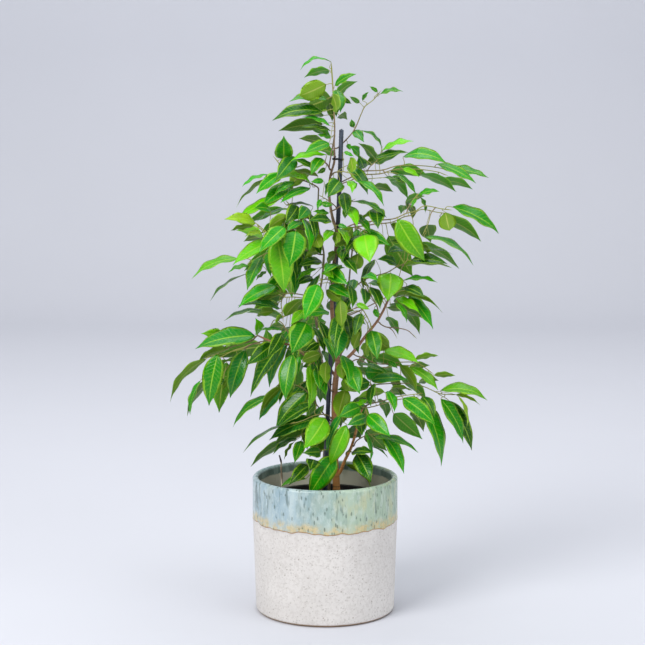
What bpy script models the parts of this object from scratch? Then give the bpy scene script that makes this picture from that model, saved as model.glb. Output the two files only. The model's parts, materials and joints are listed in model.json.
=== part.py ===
"""A young weeping fig, tied to a thin stake, in a plastic growing pot inside a glazed cover pot.

The origin is at the middle of the cover pot's foot, +Z is up and -Y is the plant's front.
"""

import bisect
import math
import random

import bmesh
import bpy
from mathutils import Vector
from mathutils.bvhtree import BVHTree

# Driving dimensions, in metres.
GAP = 0.0003  # room left between pieces that touch

POT_RADIUS = 0.0825  # cover pot, outside of the glazed wall
POT_HEIGHT = 0.1545
POT_WALL = 0.007
POT_FLOOR = 0.009
POT_TAPER = 0.003  # how much narrower the foot is
FOOT_ROUND = 0.0045
GLAZE_DEPTH = 0.0485  # from the rim down to the edge of the glaze
GLAZE_THICKNESS = 0.0004

NURSERY_ROOM = 0.0085  # between the growing pot's rim and the cover pot's wall
NURSERY_DROP = 0.025  # the growing pot's rim below the cover pot's
NURSERY_WALL = 0.0012
NURSERY_TAPER = 0.016
NURSERY_LIP = 0.003
NURSERY_LIP_HEIGHT = 0.008

SOIL_DROP = 0.010  # soil surface below the growing pot's rim
SOIL_MOUND = 0.003

STAKE_RADIUS = 0.0025
TIE_RADIUS = 0.0006
CROWN_HEIGHT = 0.505  # top of the crown above the soil
CROWN_SPREAD = 0.372
STEM_GROWTH = 1.0  # thickness of the stems, as a share of a young tree's
TWIG_RADIUS = 0.0011
PETIOLE_RADIUS = 0.0006
BLADE_THICKNESS = 0.0007
LEAF_LENGTH = 0.052
DRY_RADIUS = 0.0017
TIE_LEVEL = 51.4  # of the layout below, in centimetres

NURSERY_RADIUS = POT_RADIUS - POT_WALL - NURSERY_ROOM
NURSERY_BOTTOM = POT_FLOOR + GAP
NURSERY_TOP = POT_HEIGHT - NURSERY_DROP
SOIL_TOP = NURSERY_TOP - SOIL_DROP

# ---------------------------------------------------------------- plant plan
# The plant is laid out on its front elevation, in centimetres: x across, z up, and y the depth
# behind the stake (negative comes forward). A point keeps its place on the elevation at any depth,
# as seen from EYE.
CM = 0.01
EYE = Vector((0.0, -1.774, 0.547))
LAID_SOIL = 0.1195  # height of the soil's surface in this layout
LAID_HEIGHT = 0.505  # and of the crown's top above it
LAID_SPREAD = 0.372
LOWER = 0.002

# Stems: points (x, z, y) and radius in centimetres.
STEMS = {
    "trunk": [(1.3, 10.2, 0.1, 0.46), (1.28, 14.5, 0.1, 0.42), (1.15, 17.0, 0.1, 0.37),
              (1.08, 20.0, 0.1, 0.34), (1.05, 24.0, 0.1, 0.33), (1.18, 26.5, 0.05, 0.33),
              (1.42, 28.2, 0.0, 0.3), (1.25, 29.8, -0.3, 0.24), (0.95, 32.0, -0.7, 0.22),
              (0.75, 35.0, -0.9, 0.21), (0.85, 38.5, -0.85, 0.2), (1.2, 41.6, -0.75, 0.18),
              (1.25, 43.3, -0.65, 0.17), (0.75, 45.2, -0.5, 0.15), (0.45, 47.4, -0.4, 0.14),
              (0.55, 49.4, -0.35, 0.13), (1.02, 51.2, -0.2, 0.12), (1.0, 52.6, -0.1, 0.11)],
    "bough_right": [(1.42, 28.0, 0.0, 0.2), (2.1, 28.7, -0.2, 0.19), (3.2, 29.8, -0.4, 0.18),
                    (4.56, 31.6, -0.6, 0.16), (5.8, 33.2, -0.7, 0.14), (6.5, 34.4, -0.8, 0.13),
                    (6.95, 35.4, -0.8, 0.12), (7.3, 36.1, -0.8, 0.11)],
    "bough_left": [(1.18, 27.0, 0.05, 0.17), (0.5, 27.8, 0.7, 0.16), (-0.8, 28.5, 0.8, 0.15),
                   (-2.3, 29.4, 0.5, 0.14), (-3.4, 30.4, 0.3, 0.13), (-4.6, 30.7, 0.0, 0.12),
                   (-6.1, 31.0, -0.1, 0.11), (-7.3, 31.5, -0.2, 0.1)],
    "bough_low": [(1.22, 15.4, 0.1, 0.2), (1.7, 16.0, -0.1, 0.19), (2.2, 17.2, -0.3, 0.18),
                  (3.05, 19.1, -0.4, 0.16), (3.5, 20.8, -0.5, 0.14), (3.8, 22.5, -0.5, 0.12),
                  (4.2, 23.2, -0.6, 0.11)],
    "stem_left": [(-0.45, 10.4, -0.3, 0.17), (-0.45, 15.0, -0.1, 0.16), (-0.1, 18.0, 0.8, 0.15),
                  (0.2, 21.0, 1.2, 0.14), (0.2, 25.0, 1.6, 0.13), (-0.3, 28.5, 2.1, 0.12),
                  (-0.9, 31.5, 1.9, 0.12), (-0.8, 35.0, 1.2, 0.11), (-0.3, 38.5, 0.5, 0.11),
                  (-0.15, 40.8, 0.1, 0.1), (-0.4, 42.2, 0.0, 0.1), (-0.85, 44.4, 0.0, 0.1),
                  (-0.8, 46.2, 0.1, 0.09), (-0.75, 47.8, 0.2, 0.08)],
    "stem_right": [(0.4, 10.4, 1.0, 0.16), (0.5, 15.0, 1.1, 0.15), (0.9, 18.0, 1.3, 0.14),
                   (1.0, 22.0, 1.5, 0.13), (1.2, 26.0, 1.6, 0.12), (1.7, 29.0, 1.7, 0.12),
                   (2.1, 32.0, 1.8, 0.11), (2.5, 35.0, 1.8, 0.1), (2.7, 38.0, 1.6, 0.1),
                   (3.0, 41.0, 1.3, 0.09), (3.35, 43.4, 1.1, 0.08), (3.2, 45.4, 1.0, 0.07)],
}
STAKE_PATH = [(-0.1, 5.5, 0.0), (-0.02, 13.0, 0.0), (0.36, 24.0, 0.0), (0.98, 35.5, 0.0),
              (1.5, 46.0, 0.0), (1.8, 54.6, 0.0)]
DRY_PATH = [(-4.7, 10.8, -1.2), (-4.9, 14.4, -1.2), (-4.98, 16.2, -1.3), (-5.0, 17.1, -1.3),
            (-5.2, 17.9, -1.4)]

# Shoots: (name, stem it grows from, twig points, side twigs, leaves). A leaf is its base and tip on
# the elevation, its breadth as seen, a tone (d dark, g green, l lime, y yellow-green, t blue-green,
# o olive, seen from below), and if needed how far it comes forward and how much it arches.
SHOOTS = [
    ("crown_tip", "trunk", [(1.0, 52.7, -0.1), (1.05, 54.5, 0.0), (1.0, 56.5, 0.0), (0.9, 58.5, 0.0),
                            (0.8, 60.4, 0.0), (0.7, 61.6, 0.0)], [], [
        (0.6, 62.1, -2.8, 61.2, 0.35, "g", 0, 0.2), (0.8, 59.2, 3.4, 60.8, 0.8, "g"),
        (0.1, 59.6, -3.0, 58.3, 2.0, "o"), (0.2, 58.0, -4.0, 57.8, 0.9, "g"),
        (-0.3, 56.6, -5.9, 55.7, 1.3, "d", 0, 0.12), (0.5, 55.1, -2.6, 56.1, 0.5, "g"),
        (0.6, 54.5, -2.8, 55.0, 0.5, "d"), (1.0, 53.8, -0.9, 54.1, 0.4, "g"),
        (0.4, 53.2, -2.3, 52.1, 1.2, "g"), (1.2, 59.0, 1.7, 56.6, 1.2, "g", -0.6),
        (2.0, 58.1, 2.9, 57.5, 0.5, "d"), (0.8, 58.5, 1.2, 56.4, 0.9, "o", 0.5)]),
    ("right_top", "trunk", [(1.0, 52.0, 0.0), (2.0, 53.2, 0.6), (3.2, 54.6, 0.9), (4.0, 56.4, 1.0),
                            (4.4, 57.2, 1.0), (5.3, 57.9, 1.0), (5.9, 58.6, 1.0)], [], [
        (3.8, 57.6, 2.7, 58.3, 0.5, "t"), (4.1, 57.9, 4.8, 58.8, 0.4, "t"),
        (6.0, 58.6, 8.6, 58.9, 0.5, "g"), (5.8, 58.8, 4.9, 59.4, 0.4, "g"),
        (3.3, 54.6, 4.3, 53.3, 1.0, "t", 0.5), (3.1, 54.9, 2.9, 55.8, 0.6, "t", 0.5),
        (2.4, 53.3, 2.8, 52.4, 0.5, "g")]),
    ("right_high", "trunk", [(0.48, 48.2, -0.4), (1.7, 48.8, 0.8), (3.1, 49.5, 0.6), (4.0, 50.0, 0.3),
                             (6.4, 50.2, -0.2), (8.0, 50.65, -0.5), (11.0, 50.65, -0.8),
                             (13.0, 50.35, -1.0), (13.7, 50.1, -1.0)],
     [[(4.7, 50.1, 0.2), (5.0, 50.6, 0.6), (6.0, 51.5, 0.8), (6.25, 52.4, 0.8)],
      [(6.4, 50.2, -0.2), (7.8, 49.85, -1.2)],
      [(3.2, 49.5, 0.6), (3.7, 49.2, -0.2), (6.3, 49.35, -0.9)]], [
        (6.3, 52.6, 3.9, 54.6, 0.4, "t", 0, 0.15), (6.3, 52.3, 9.8, 53.4, 0.6, "l"),
        (5.5, 51.5, 9.2, 52.2, 0.7, "d"), (8.7, 51.7, 13.5, 51.0, 1.2, "g", 0, 0.14),
        (12.2, 50.85, 16.8, 48.8, 0.9, "g"), (13.7, 50.4, 18.2, 49.4, 0.9, "g", -0.4),
        (8.5, 50.4, 10.5, 49.4, 0.6, "l"), (8.0, 49.8, 10.2, 47.5, 0.5, "g"),
        (6.3, 49.4, 9.0, 48.7, 0.3, "d"), (4.3, 50.4, 3.7, 51.8, 1.2, "t", 0.6)]),
    ("right_high_front", "trunk", [(0.6, 49.6, -0.35), (1.0, 49.9, -1.6), (2.1, 50.0, -2.4),
                                   (3.2, 49.7, -2.8)], [], [
        (3.4, 49.0, 6.6, 46.2, 0.8, "g", 0, 0.14), (2.8, 51.6, 3.1, 49.9, 0.9, "o", 0.4),
        (2.1, 52.2, 3.2, 51.7, 0.4, "g"), (2.7, 49.0, 3.0, 47.7, 1.0, "l"),
        (1.6, 49.0, 0.3, 47.2, 1.7, "d", -0.8), (1.0, 49.5, 0.0, 47.3, 0.4, "t")]),
    ("right_mid", "trunk", [(1.25, 43.3, -0.65), (3.0, 44.1, -1.4), (4.6, 44.4, -2.0),
                            (5.9, 44.6, -2.3), (7.7, 44.8, -2.6), (9.1, 45.4, -2.5),
                            (10.0, 45.6, -2.4), (11.0, 46.2, -2.3), (12.9, 45.9, -2.3),
                            (13.7, 45.8, -2.3)],
     [[(9.1, 45.4, -2.5), (9.6, 46.6, -2.2), (10.2, 47.4, -2.1)],
      [(12.3, 46.0, -2.3), (11.8, 45.4, -2.7), (11.5, 44.3, -3.0), (11.0, 43.2, -3.2)]], [
        (8.1, 44.7, 11.2, 40.0, 2.3, "l", -0.8), (14.2, 46.1, 19.5, 43.3, 1.2, "g"),
        (13.4, 45.5, 13.9, 43.4, 1.8, "o"), (10.4, 47.5, 12.7, 47.9, 0.6, "g"),
        (10.0, 47.1, 9.6, 46.0, 0.4, "g"), (10.6, 47.2, 11.2, 45.4, 0.4, "d"),
        (11.1, 42.75, 16.7, 39.7, 0.7, "g", 0, 0.13), (7.3, 44.2, 8.9, 42.2, 0.9, "o", 0.6)]),
    ("right_mid_up", "trunk", [(0.7, 45.6, -0.45), (1.9, 46.3, -1.5), (2.4, 46.5, -1.8),
                               (3.0, 46.8, -2.0)],
     [[(1.1, 45.8, -0.9), (0.2, 46.9, -1.8), (-0.5, 47.3, -2.4)]], [
        (-0.2, 49.0, -1.6, 48.9, 0.6, "g"), (-0.5, 47.1, -0.9, 45.9, 0.6, "g"),
        (-0.4, 46.5, 0.9, 46.3, 0.6, "g", -0.4),
        (3.1, 46.7, 6.9, 44.9, 0.5, "d", 0, 0.12), (2.7, 46.2, 3.6, 43.9, 1.2, "l", -0.5),
        (2.2, 46.3, 2.2, 44.8, 0.6, "d"), (0.4, 45.4, -1.4, 45.6, 0.5, "g"),
        (0.2, 46.3, 1.4, 45.9, 0.6, "l", -0.6)]),
    ("centre_right_high", "stem_right", [(3.35, 43.6, 1.1), (3.7, 43.8, -0.8), (4.2, 43.5, -2.2),
                                         (4.6, 43.3, -3.2)], [], [
        (3.8, 43.6, 7.3, 41.8, 1.4, "g"), (4.4, 43.0, 5.0, 39.9, 2.6, "l", -0.8),
        (4.0, 42.9, 2.3, 41.0, 1.0, "d"), (5.7, 45.5, 4.0, 44.7, 0.5, "o", 0.4)]),
    ("right_39", "stem_right", [(2.6, 37.0, 1.7), (4.5, 38.0, 0.6), (7.0, 38.8, -0.8),
                                (8.0, 39.4, -1.2), (9.0, 39.9, -1.6), (9.3, 40.8, -1.7),
                                (9.3, 41.5, -1.6)],
     [[(8.8, 39.8, -1.5), (8.5, 39.1, -1.8), (8.3, 38.4, -1.9)]], [
        (9.3, 40.15, 13.7, 39.8, 1.1, "d"), (8.8, 39.5, 14.2, 39.4, 0.6, "o"),
        (9.8, 41.6, 12.0, 41.2, 0.8, "o", 0.6), (10.0, 41.3, 14.4, 40.9, 0.25, "d"),
        (8.9, 41.9, 7.1, 42.3, 0.5, "d"), (8.6, 41.3, 7.0, 41.0, 0.9, "t", 1.2),
        (8.0, 39.7, 5.9, 40.3, 1.0, "d", 1.5), (7.3, 38.7, 7.0, 35.6, 2.7, "l", -1.2)]),
    ("right_36", "bough_right", [(7.3, 36.2, -0.8), (7.8, 36.7, -1.2), (8.8, 37.1, -1.5),
                                (10.1, 37.2, -1.8)],
     [], [
        (8.8, 37.9, 12.6, 37.75, 0.5, "g"), (8.8, 37.2, 11.2, 36.0, 1.0, "d", 0.5),
        (7.8, 36.3, 13.3, 34.4, 0.5, "o", 0, 0.1), (7.9, 35.9, 10.6, 34.3, 0.9, "l", -0.8),
        (9.4, 36.1, 12.2, 32.4, 1.3, "g", 0.4), (7.9, 35.3, 9.2, 33.1, 0.6, "g", 0, 0.16)]),
    ("right_35", "bough_right", [(6.3, 34.0, -0.8), (5.8, 35.0, -1.8), (5.0, 36.4, -2.2),
                                 (4.6, 37.4, -2.2)], [], [
        (4.9, 37.2, 6.2, 34.7, 1.0, "d"), (4.4, 36.9, 4.5, 35.1, 1.0, "t", 0.6),
        (5.1, 37.7, 6.3, 37.1, 0.8, "t", 0.8), (4.2, 38.3, 5.9, 37.9, 0.8, "g"),
        (4.0, 37.9, 5.2, 36.9, 0.9, "d", 0.5), (5.4, 34.8, 6.0, 33.6, 0.6, "g")]),
    ("right_bare", "bough_right", [(5.8, 33.2, -0.7), (6.3, 32.9, 0.5), (6.9, 32.6, 0.9),
                                   (8.1, 32.5, 1.2), (9.3, 32.2, 1.4), (10.0, 31.6, 1.5)],
     [[(7.2, 32.6, 1.0), (7.6, 32.2, 0.8), (7.9, 31.7, 0.8)]], []),
    ("centre_33", "trunk", [(0.85, 33.6, -0.8), (1.3, 33.9, -2.6), (1.9, 34.2, -4.2),
                            (3.0, 34.6, -4.8), (3.9, 34.8, -4.6),
                            (4.9, 33.4, -4.0), (5.2, 32.6, -3.8)], [], [
        (5.2, 32.2, 5.9, 28.9, 1.7, "g", -0.5), (4.8, 30.9, 4.7, 29.2, 0.9, "o", 0.8),
        (1.7, 33.1, 1.2, 29.0, 2.3, "t", -1.6), (2.3, 34.0, 2.9, 31.2, 1.4, "d", 0.6),
        (4.0, 34.2, 3.3, 31.6, 1.1, "d"), (1.9, 31.2, 1.6, 28.9, 0.6, "g"),
        (2.3, 31.3, 2.8, 30.3, 0.7, "o"), (3.3, 35.1, 5.0, 34.6, 0.6, "l"),
        (1.3, 34.3, 3.3, 34.5, 0.7, "o", 0.5)]),
    ("centre_left_33", "stem_left", [(-0.9, 33.0, 1.7), (-1.2, 34.2, -0.4), (-1.6, 34.4, -3.0),
                                     (-2.1, 34.0, -5.2)], [], [
        (-2.1, 33.1, -3.8, 29.6, 2.6, "g", -1.0), (-2.4, 34.5, -3.9, 32.9, 1.0, "l"),
        (0.4, 34.3, -2.9, 33.6, 1.1, "g"), (-0.6, 33.2, 0.4, 29.6, 1.0, "d", 0.5),
        (-1.4, 32.6, 0.0, 29.5, 0.8, "t", 0.5), (-0.1, 31.4, 0.9, 28.9, 0.8, "t", -0.5),
        (0.4, 33.7, 0.2, 31.2, 1.4, "d", 1.0)]),
    ("centre_37", "trunk", [(0.82, 37.6, -0.85), (0.4, 38.0, -2.8), (-0.6, 37.9, -4.8)], [], [
        (-0.8, 37.4, -2.4, 33.4, 2.0, "g", -1.0), (0.5, 37.3, 3.0, 35.9, 1.2, "g"),
        (2.2, 38.1, 0.6, 37.6, 0.8, "d"), (0.1, 36.8, 1.8, 35.6, 1.2, "o", 0.8),
        (2.8, 37.3, 3.1, 34.8, 0.9, "d", 0.8)]),
    ("centre_39", "stem_left", [(-0.22, 39.4, 0.3), (-0.3, 39.4, -1.8), (-0.4, 39.3, -3.4)], [], [
        (-0.5, 40.1, -3.0, 39.6, 1.0, "d"), (-1.0, 39.2, -3.2, 38.0, 0.5, "l", -0.6),
        (-1.5, 38.3, -3.2, 37.4, 1.0, "d", 0.6), (0.0, 39.3, 2.2, 39.3, 0.7, "d"),
        (-0.2, 38.9, 0.9, 38.2, 0.9, "l", -0.8), (1.2, 41.0, 0.2, 39.9, 0.8, "o", 0.6)]),
    ("centre_43", "trunk", [(1.25, 42.4, -0.7), (1.1, 43.6, -2.4), (1.0, 44.0, -3.6)],
     [[(1.2, 43.2, -1.6), (2.0, 42.0, -2.8), (3.0, 41.3, -3.8)]], [
        (2.1, 40.5, 3.6, 38.6, 1.1, "d"), (3.7, 40.9, 3.4, 39.0, 1.4, "o", 0.4),
        (2.4, 41.6, 1.9, 40.0, 0.8, "d", 0.8),
        (0.8, 43.6, -0.2, 42.2, 0.9, "l"), (1.0, 43.3, 1.3, 41.9, 0.9, "o", 0.4),
        (1.6, 43.7, 2.5, 41.9, 0.9, "l", -0.4), (1.2, 44.1, 2.5, 43.8, 0.5, "t"),
        (0.6, 44.6, -1.8, 44.6, 1.0, "d", 0.5)]),
    ("left_43", "stem_left", [(-0.35, 42.0, 0.0), (-1.6, 43.2, -2.4), (-3.2, 43.7, -4.2),
                              (-4.4, 43.4, -4.7), (-5.4, 43.2, -4.6), (-6.5, 43.3, -4.4),
                              (-7.5, 44.1, -4.2)], [], [
        (-3.3, 43.4, -4.0, 39.4, 2.5, "g", -1.0), (-5.4, 42.6, -4.6, 36.4, 2.5, "l", -1.2),
        (-7.8, 44.3, -11.2, 44.8, 1.1, "y"), (-8.0, 44.0, -10.6, 43.5, 0.6, "o", 0.5),
        (-6.7, 43.35, -9.0, 42.8, 0.5, "y"), (-4.1, 45.1, -6.4, 43.5, 1.1, "o", 1.0),
        (-2.6, 44.4, -4.3, 43.4, 0.9, "t", 0.6), (-5.9, 42.3, -10.4, 39.7, 1.4, "l", 0.6)]),
    ("left_41", "stem_left", [(-0.15, 40.8, 0.1), (-2.0, 41.2, -0.9), (-4.5, 41.4, -1.6),
                              (-6.6, 40.9, -2.0), (-8.4, 39.9, -2.2)], [], [
        (-9.7, 40.3, -15.0, 38.1, 0.8, "l", 0, 0.12), (-8.6, 39.55, -10.9, 38.8, 0.5, "g"),
        (-7.1, 40.6, -8.8, 36.8, 1.3, "g", -0.6), (-6.6, 38.9, -7.8, 37.9, 0.4, "d"),
        (-8.9, 38.6, -13.0, 35.7, 0.2, "d"), (-3.9, 40.6, -3.4, 36.2, 1.3, "t", -0.8),
        (-1.2, 42.3, -0.5, 40.8, 1.0, "d", 0.8)]),
    ("left_45", "stem_left", [(-0.85, 44.4, 0.0), (-2.2, 45.0, -1.2), (-3.4, 45.7, -1.8),
                              (-4.2, 46.6, -2.0)], [], [
        (-2.3, 44.7, -1.7, 41.2, 1.0, "g", -0.8), (-5.0, 47.0, -9.8, 44.9, 1.0, "l"),
        (-3.9, 45.9, -7.7, 44.6, 0.3, "t"), (-3.0, 44.6, -4.2, 43.6, 0.4, "d"),
        (-1.4, 46.2, -4.5, 46.2, 0.3, "d")]),
    ("left_48", "stem_left", [(-0.75, 47.6, 0.2), (-1.8, 48.8, -0.8), (-3.3, 49.3, -1.1),
                              (-4.6, 49.8, -1.2), (-6.2, 49.6, -1.0)], [], [
        (-6.4, 49.7, -9.3, 48.4, 0.4, "g"), (-4.4, 49.9, -7.7, 47.6, 1.2, "g"),
        (-6.4, 49.2, -10.1, 46.0, 0.4, "o", 0.5), (-1.3, 48.3, -5.5, 49.2, 0.6, "l", -0.4, 0.2),
        (-0.8, 49.5, -4.2, 50.1, 0.5, "o", 0.5), (-3.3, 48.9, -5.7, 47.5, 0.8, "g"),
        (-1.7, 48.2, -5.0, 46.6, 0.9, "g", 0.3)]),
    ("left_51", "trunk", [(0.9, 50.8, -0.3), (0.0, 51.0, -1.2), (-1.6, 51.0, -1.6),
                          (-3.2, 50.5, -1.5), (-4.5, 50.3, -1.3), (-5.5, 51.4, -1.2)], [], [
        (-4.6, 51.4, -4.6, 53.9, 1.9, "g"), (-0.4, 51.5, -1.6, 49.7, 1.2, "g", -0.5),
        (-1.4, 50.5, -3.5, 51.4, 0.6, "d", 0.4), (0.1, 51.9, -3.9, 51.3, 0.6, "l"),
        (0.2, 50.5, -0.9, 49.8, 0.5, "d")]),
    ("left_36", "stem_left", [(-0.7, 35.6, 1.1), (-2.0, 36.1, 0.2), (-3.6, 36.4, -0.6),
                              (-4.7, 36.4, -1.0), (-5.3, 36.7, -1.1)],
     [[(-4.6, 36.4, -1.0), (-4.95, 35.2, -1.5), (-4.85, 34.5, -1.6), (-4.75, 33.6, -1.7)]], [
        (-5.5, 37.3, -9.8, 34.9, 1.4, "g", -0.4), (-5.9, 36.1, -9.0, 35.4, 0.9, "o", 0.3),
        (-5.1, 34.7, -9.8, 35.1, 0.9, "t"), (-4.5, 33.8, -2.2, 35.9, 1.2, "o", -0.4),
        (-5.7, 34.35, -7.8, 33.9, 0.9, "o", 0.8), (-4.9, 34.1, -5.6, 32.8, 0.4, "o", 0.3),
        (-7.2, 34.6, -11.4, 33.4, 0.4, "d", 0.2)]),
    ("left_32", "bough_left", [(-3.5, 30.5, 0.3), (-3.9, 31.6, -0.6), (-4.5, 32.5, -0.9),
                               (-4.9, 33.1, -0.9), (-5.7, 33.4, -0.8), (-6.2, 32.6, -0.7)],
     [[(-3.7, 31.1, -0.3), (-4.9, 31.3, -1.6), (-5.6, 31.0, -2.4)]], [
        (-5.9, 30.7, -8.9, 28.3, 1.6, "d"), (-4.6, 31.1, -8.6, 24.7, 1.6, "d", 0.7),
        (-4.7, 32.45, -7.4, 32.2, 0.4, "t"), (-4.3, 32.2, -5.9, 31.1, 0.6, "g")]),
    ("left_30", "bough_left", [(-7.4, 31.5, -0.2), (-8.2, 31.1, -0.8), (-9.4, 30.7, -1.2),
                               (-10.7, 30.3, -1.4), (-11.9, 29.7, -1.5), (-13.2, 29.2, -1.5)],
     [], [
        (-7.9, 31.6, -14.7, 30.2, 1.9, "t", -0.8, 0.1), (-7.5, 31.9, -7.8, 33.6, 1.0, "l", 0.4),
        (-12.1, 29.5, -13.2, 23.6, 2.1, "g", -0.7), (-10.9, 30.1, -14.6, 28.5, 0.8, "o", 0.4),
        (-13.4, 29.0, -17.7, 24.2, 0.9, "o", 0, 0.1), (-11.2, 31.5, -13.9, 31.9, 1.2, "l", 0.6)]),
    ("left_29", "bough_left", [(-6.5, 31.15, -0.1), (-7.4, 30.9, 0.9), (-8.7, 30.4, 1.3),
                               (-10.7, 28.4, 1.4), (-12.0, 26.9, 1.3), (-13.7, 26.7, 1.2)],
     [], [
        (-9.0, 30.0, -10.8, 24.5, 1.9, "t", -0.9), (-10.9, 26.8, -11.7, 25.3, 0.6, "o"),
        (-12.0, 26.0, -12.4, 24.3, 0.25, "d"), (-11.5, 27.0, -11.9, 26.0, 0.5, "d"),
        (-14.1, 26.5, -15.4, 22.6, 0.6, "g")]),
    ("left_27", "trunk", [(1.08, 25.4, 0.1), (0.2, 26.6, -1.6), (-0.8, 28.0, -2.8),
                          (-1.7, 28.9, -3.6), (-2.8, 29.9, -4.2), (-3.7, 30.0, -4.3)], [], [
        (-3.7, 29.5, -4.6, 24.3, 1.8, "g", -0.5), (-2.9, 29.3, -3.1, 27.1, 0.7, "g", 0.5),
        (-1.9, 28.2, -1.8, 23.1, 1.2, "l", -0.6), (-0.9, 28.0, -0.6, 25.4, 1.2, "g"),
        (0.1, 27.2, 0.1, 24.8, 0.9, "g", -0.4), (-0.5, 29.6, -2.7, 28.7, 1.2, "o", 0.6)]),
    ("left_25", "trunk", [(1.06, 21.9, 0.1), (0.0, 22.5, 1.0), (-1.3, 24.2, 0.8), (-2.2, 25.4, 0.5),
                          (-3.6, 26.1, 0.1), (-4.8, 26.3, -0.2), (-5.9, 25.5, -0.4)], [], [
        (-2.1, 25.2, -5.7, 21.0, 1.9, "d", -0.8), (-2.5, 25.9, -4.1, 24.5, 0.6, "t", 0.3),
        (-4.9, 26.0, -7.4, 22.5, 0.8, "o"), (-6.1, 24.7, -10.5, 21.2, 0.8, "g", 0, 0.12)]),
    ("left_22", "trunk", [(1.08, 21.0, 0.1), (0.75, 22.1, -1.4), (0.1, 22.6, -2.2),
                          (-1.2, 22.5, -2.6), (-2.6, 21.9, -2.6), (-3.6, 21.6, -2.4)],
     [[(0.8, 21.9, -1.0), (1.6, 22.1, -2.0), (2.3, 22.0, -2.8)],
      [(0.9, 21.6, -0.7), (1.8, 23.2, -1.0), (2.6, 24.9, -1.2)]], [
        (2.4, 21.4, 0.5, 16.7, 1.8, "l", -0.7), (2.7, 24.7, 2.1, 21.6, 1.0, "o", 0.3),
        (0.0, 22.2, -2.4, 18.7, 2.4, "l", -1.0), (-1.2, 22.1, -6.4, 19.7, 1.6, "t", 0.3),
        (-3.9, 21.6, -9.4, 18.3, 0.25, "d")]),
    ("left_20", "stem_left", [(0.1, 19.8, 1.1), (-1.0, 20.5, 0.2), (-2.3, 20.5, -0.6),
                              (-3.1, 20.1, -0.9)], [], [
        (-3.1, 19.9, -6.0, 18.1, 0.6, "d"), (-2.7, 19.6, -3.5, 17.1, 1.2, "g", -0.5),
        (-3.6, 19.4, -4.7, 17.4, 0.3, "o"), (-0.8, 19.9, -2.0, 19.1, 0.8, "o", -0.3)]),
    ("low_front", "trunk", [(1.12, 18.2, 0.1), (1.1, 18.5, -1.6), (0.5, 18.6, -2.8),
                            (-0.3, 18.5, -3.2)],
     [[(0.9, 18.55, -2.0), (0.2, 17.6, -1.6), (-0.9, 17.2, -2.0), (-1.8, 17.0, -2.6)]], [
        (1.1, 17.9, -1.9, 13.2, 2.3, "g", -1.2), (-0.5, 18.3, -2.5, 18.2, 1.2, "d"),
        (-1.2, 17.4, -1.7, 16.2, 1.5, "d"), (-2.0, 16.8, -4.1, 14.5, 1.4, "d", 0.5),
        (-2.2, 15.2, -5.1, 14.3, 0.6, "g", -0.6, 0.12)]),
    ("low_right", "bough_low", [(3.05, 19.1, -0.4), (3.5, 19.5, -1.0), (4.4, 20.1, -1.4),
                                (5.0, 20.3, -1.6), (6.4, 20.4, -1.8)], [], [
        (5.2, 20.1, 10.6, 18.3, 0.7, "g", -0.3, 0.1), (6.6, 20.3, 9.0, 15.8, 1.4, "g"),
        (4.5, 20.6, 5.2, 17.1, 0.5, "g"), (5.4, 18.9, 7.2, 17.6, 0.2, "d", 0.4)]),
    ("low_right_front", "bough_low", [(2.5, 17.9, -0.3), (2.4, 18.2, -1.5), (2.8, 18.6, -2.6)], [], [
        (2.8, 18.3, 5.5, 18.2, 0.9, "d"), (3.6, 18.1, 5.2, 14.8, 1.9, "d", 0.7),
        (2.4, 16.8, 5.3, 14.2, 0.6, "o", 0, 0.14), (2.7, 15.7, 4.1, 13.9, 1.0, "l"),
        (2.2, 16.6, 3.6, 14.4, 1.5, "d", 3.2)]),
    ("right_24", "bough_low", [(4.3, 23.3, -0.6), (5.0, 23.8, -1.2), (6.6, 24.2, -1.6),
                               (8.4, 24.7, -1.9), (10.6, 25.0, -2.0)],
     [[(4.7, 23.6, -1.0), (4.6, 23.2, -2.4), (4.7, 22.9, -3.4)]], [
        (4.8, 22.6, 7.4, 20.1, 1.7, "g", -0.6), (4.6, 22.3, 2.5, 21.4, 1.3, "t"),
        (4.0, 21.8, 4.2, 20.3, 1.2, "d", 0.4),
        (8.8, 24.5, 12.5, 21.4, 1.7, "g", -0.8), (11.0, 24.7, 12.4, 22.2, 1.2, "d", 0.4),
        (11.2, 23.8, 13.3, 16.6, 1.6, "g", 0.6), (7.1, 25.3, 7.9, 23.0, 1.0, "g", -0.5),
        (6.7, 25.2, 3.6, 24.6, 0.9, "o", 0.5), (4.7, 24.3, 3.0, 23.4, 0.6, "l"),
        (7.5, 25.7, 9.9, 25.4, 0.4, "o", 0.4)]),
    ("right_26", "trunk", [(1.08, 25.2, 0.1), (3.4, 25.7, 0.6), (6.3, 26.1, 1.0), (8.9, 26.2, 0.8),
                           (10.3, 26.0, 0.5), (11.2, 25.8, 0.3), (12.3, 25.3, 0.0),
                           (13.0, 25.0, -0.2), (14.4, 24.9, -0.4)], [], [
        (13.1, 25.4, 18.4, 24.4, 1.1, "l", -0.4, 0.14), (14.8, 24.9, 17.6, 23.7, 0.4, "o", 0.4),
        (13.1, 24.4, 15.8, 19.3, 1.4, "g", -0.5), (14.0, 24.2, 16.8, 18.5, 1.4, "d", 0.7),
        (15.1, 24.7, 16.2, 21.2, 0.4, "y"), (5.2, 26.6, 9.4, 26.7, 1.2, "t", -0.5)]),
    ("right_28", "bough_right", [(3.0, 29.6, -0.35), (3.6, 29.3, 1.2), (4.4, 29.1, 1.5),
                                 (5.6, 28.5, 1.3), (7.0, 28.4, 1.0), (8.4, 28.6, 0.7),
                                 (10.4, 28.5, 0.4), (11.9, 27.5, 0.3)], [], [
        (6.7, 30.0, 10.6, 28.6, 1.3, "l", -0.6), (9.9, 28.8, 12.8, 29.4, 0.6, "o"),
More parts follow.
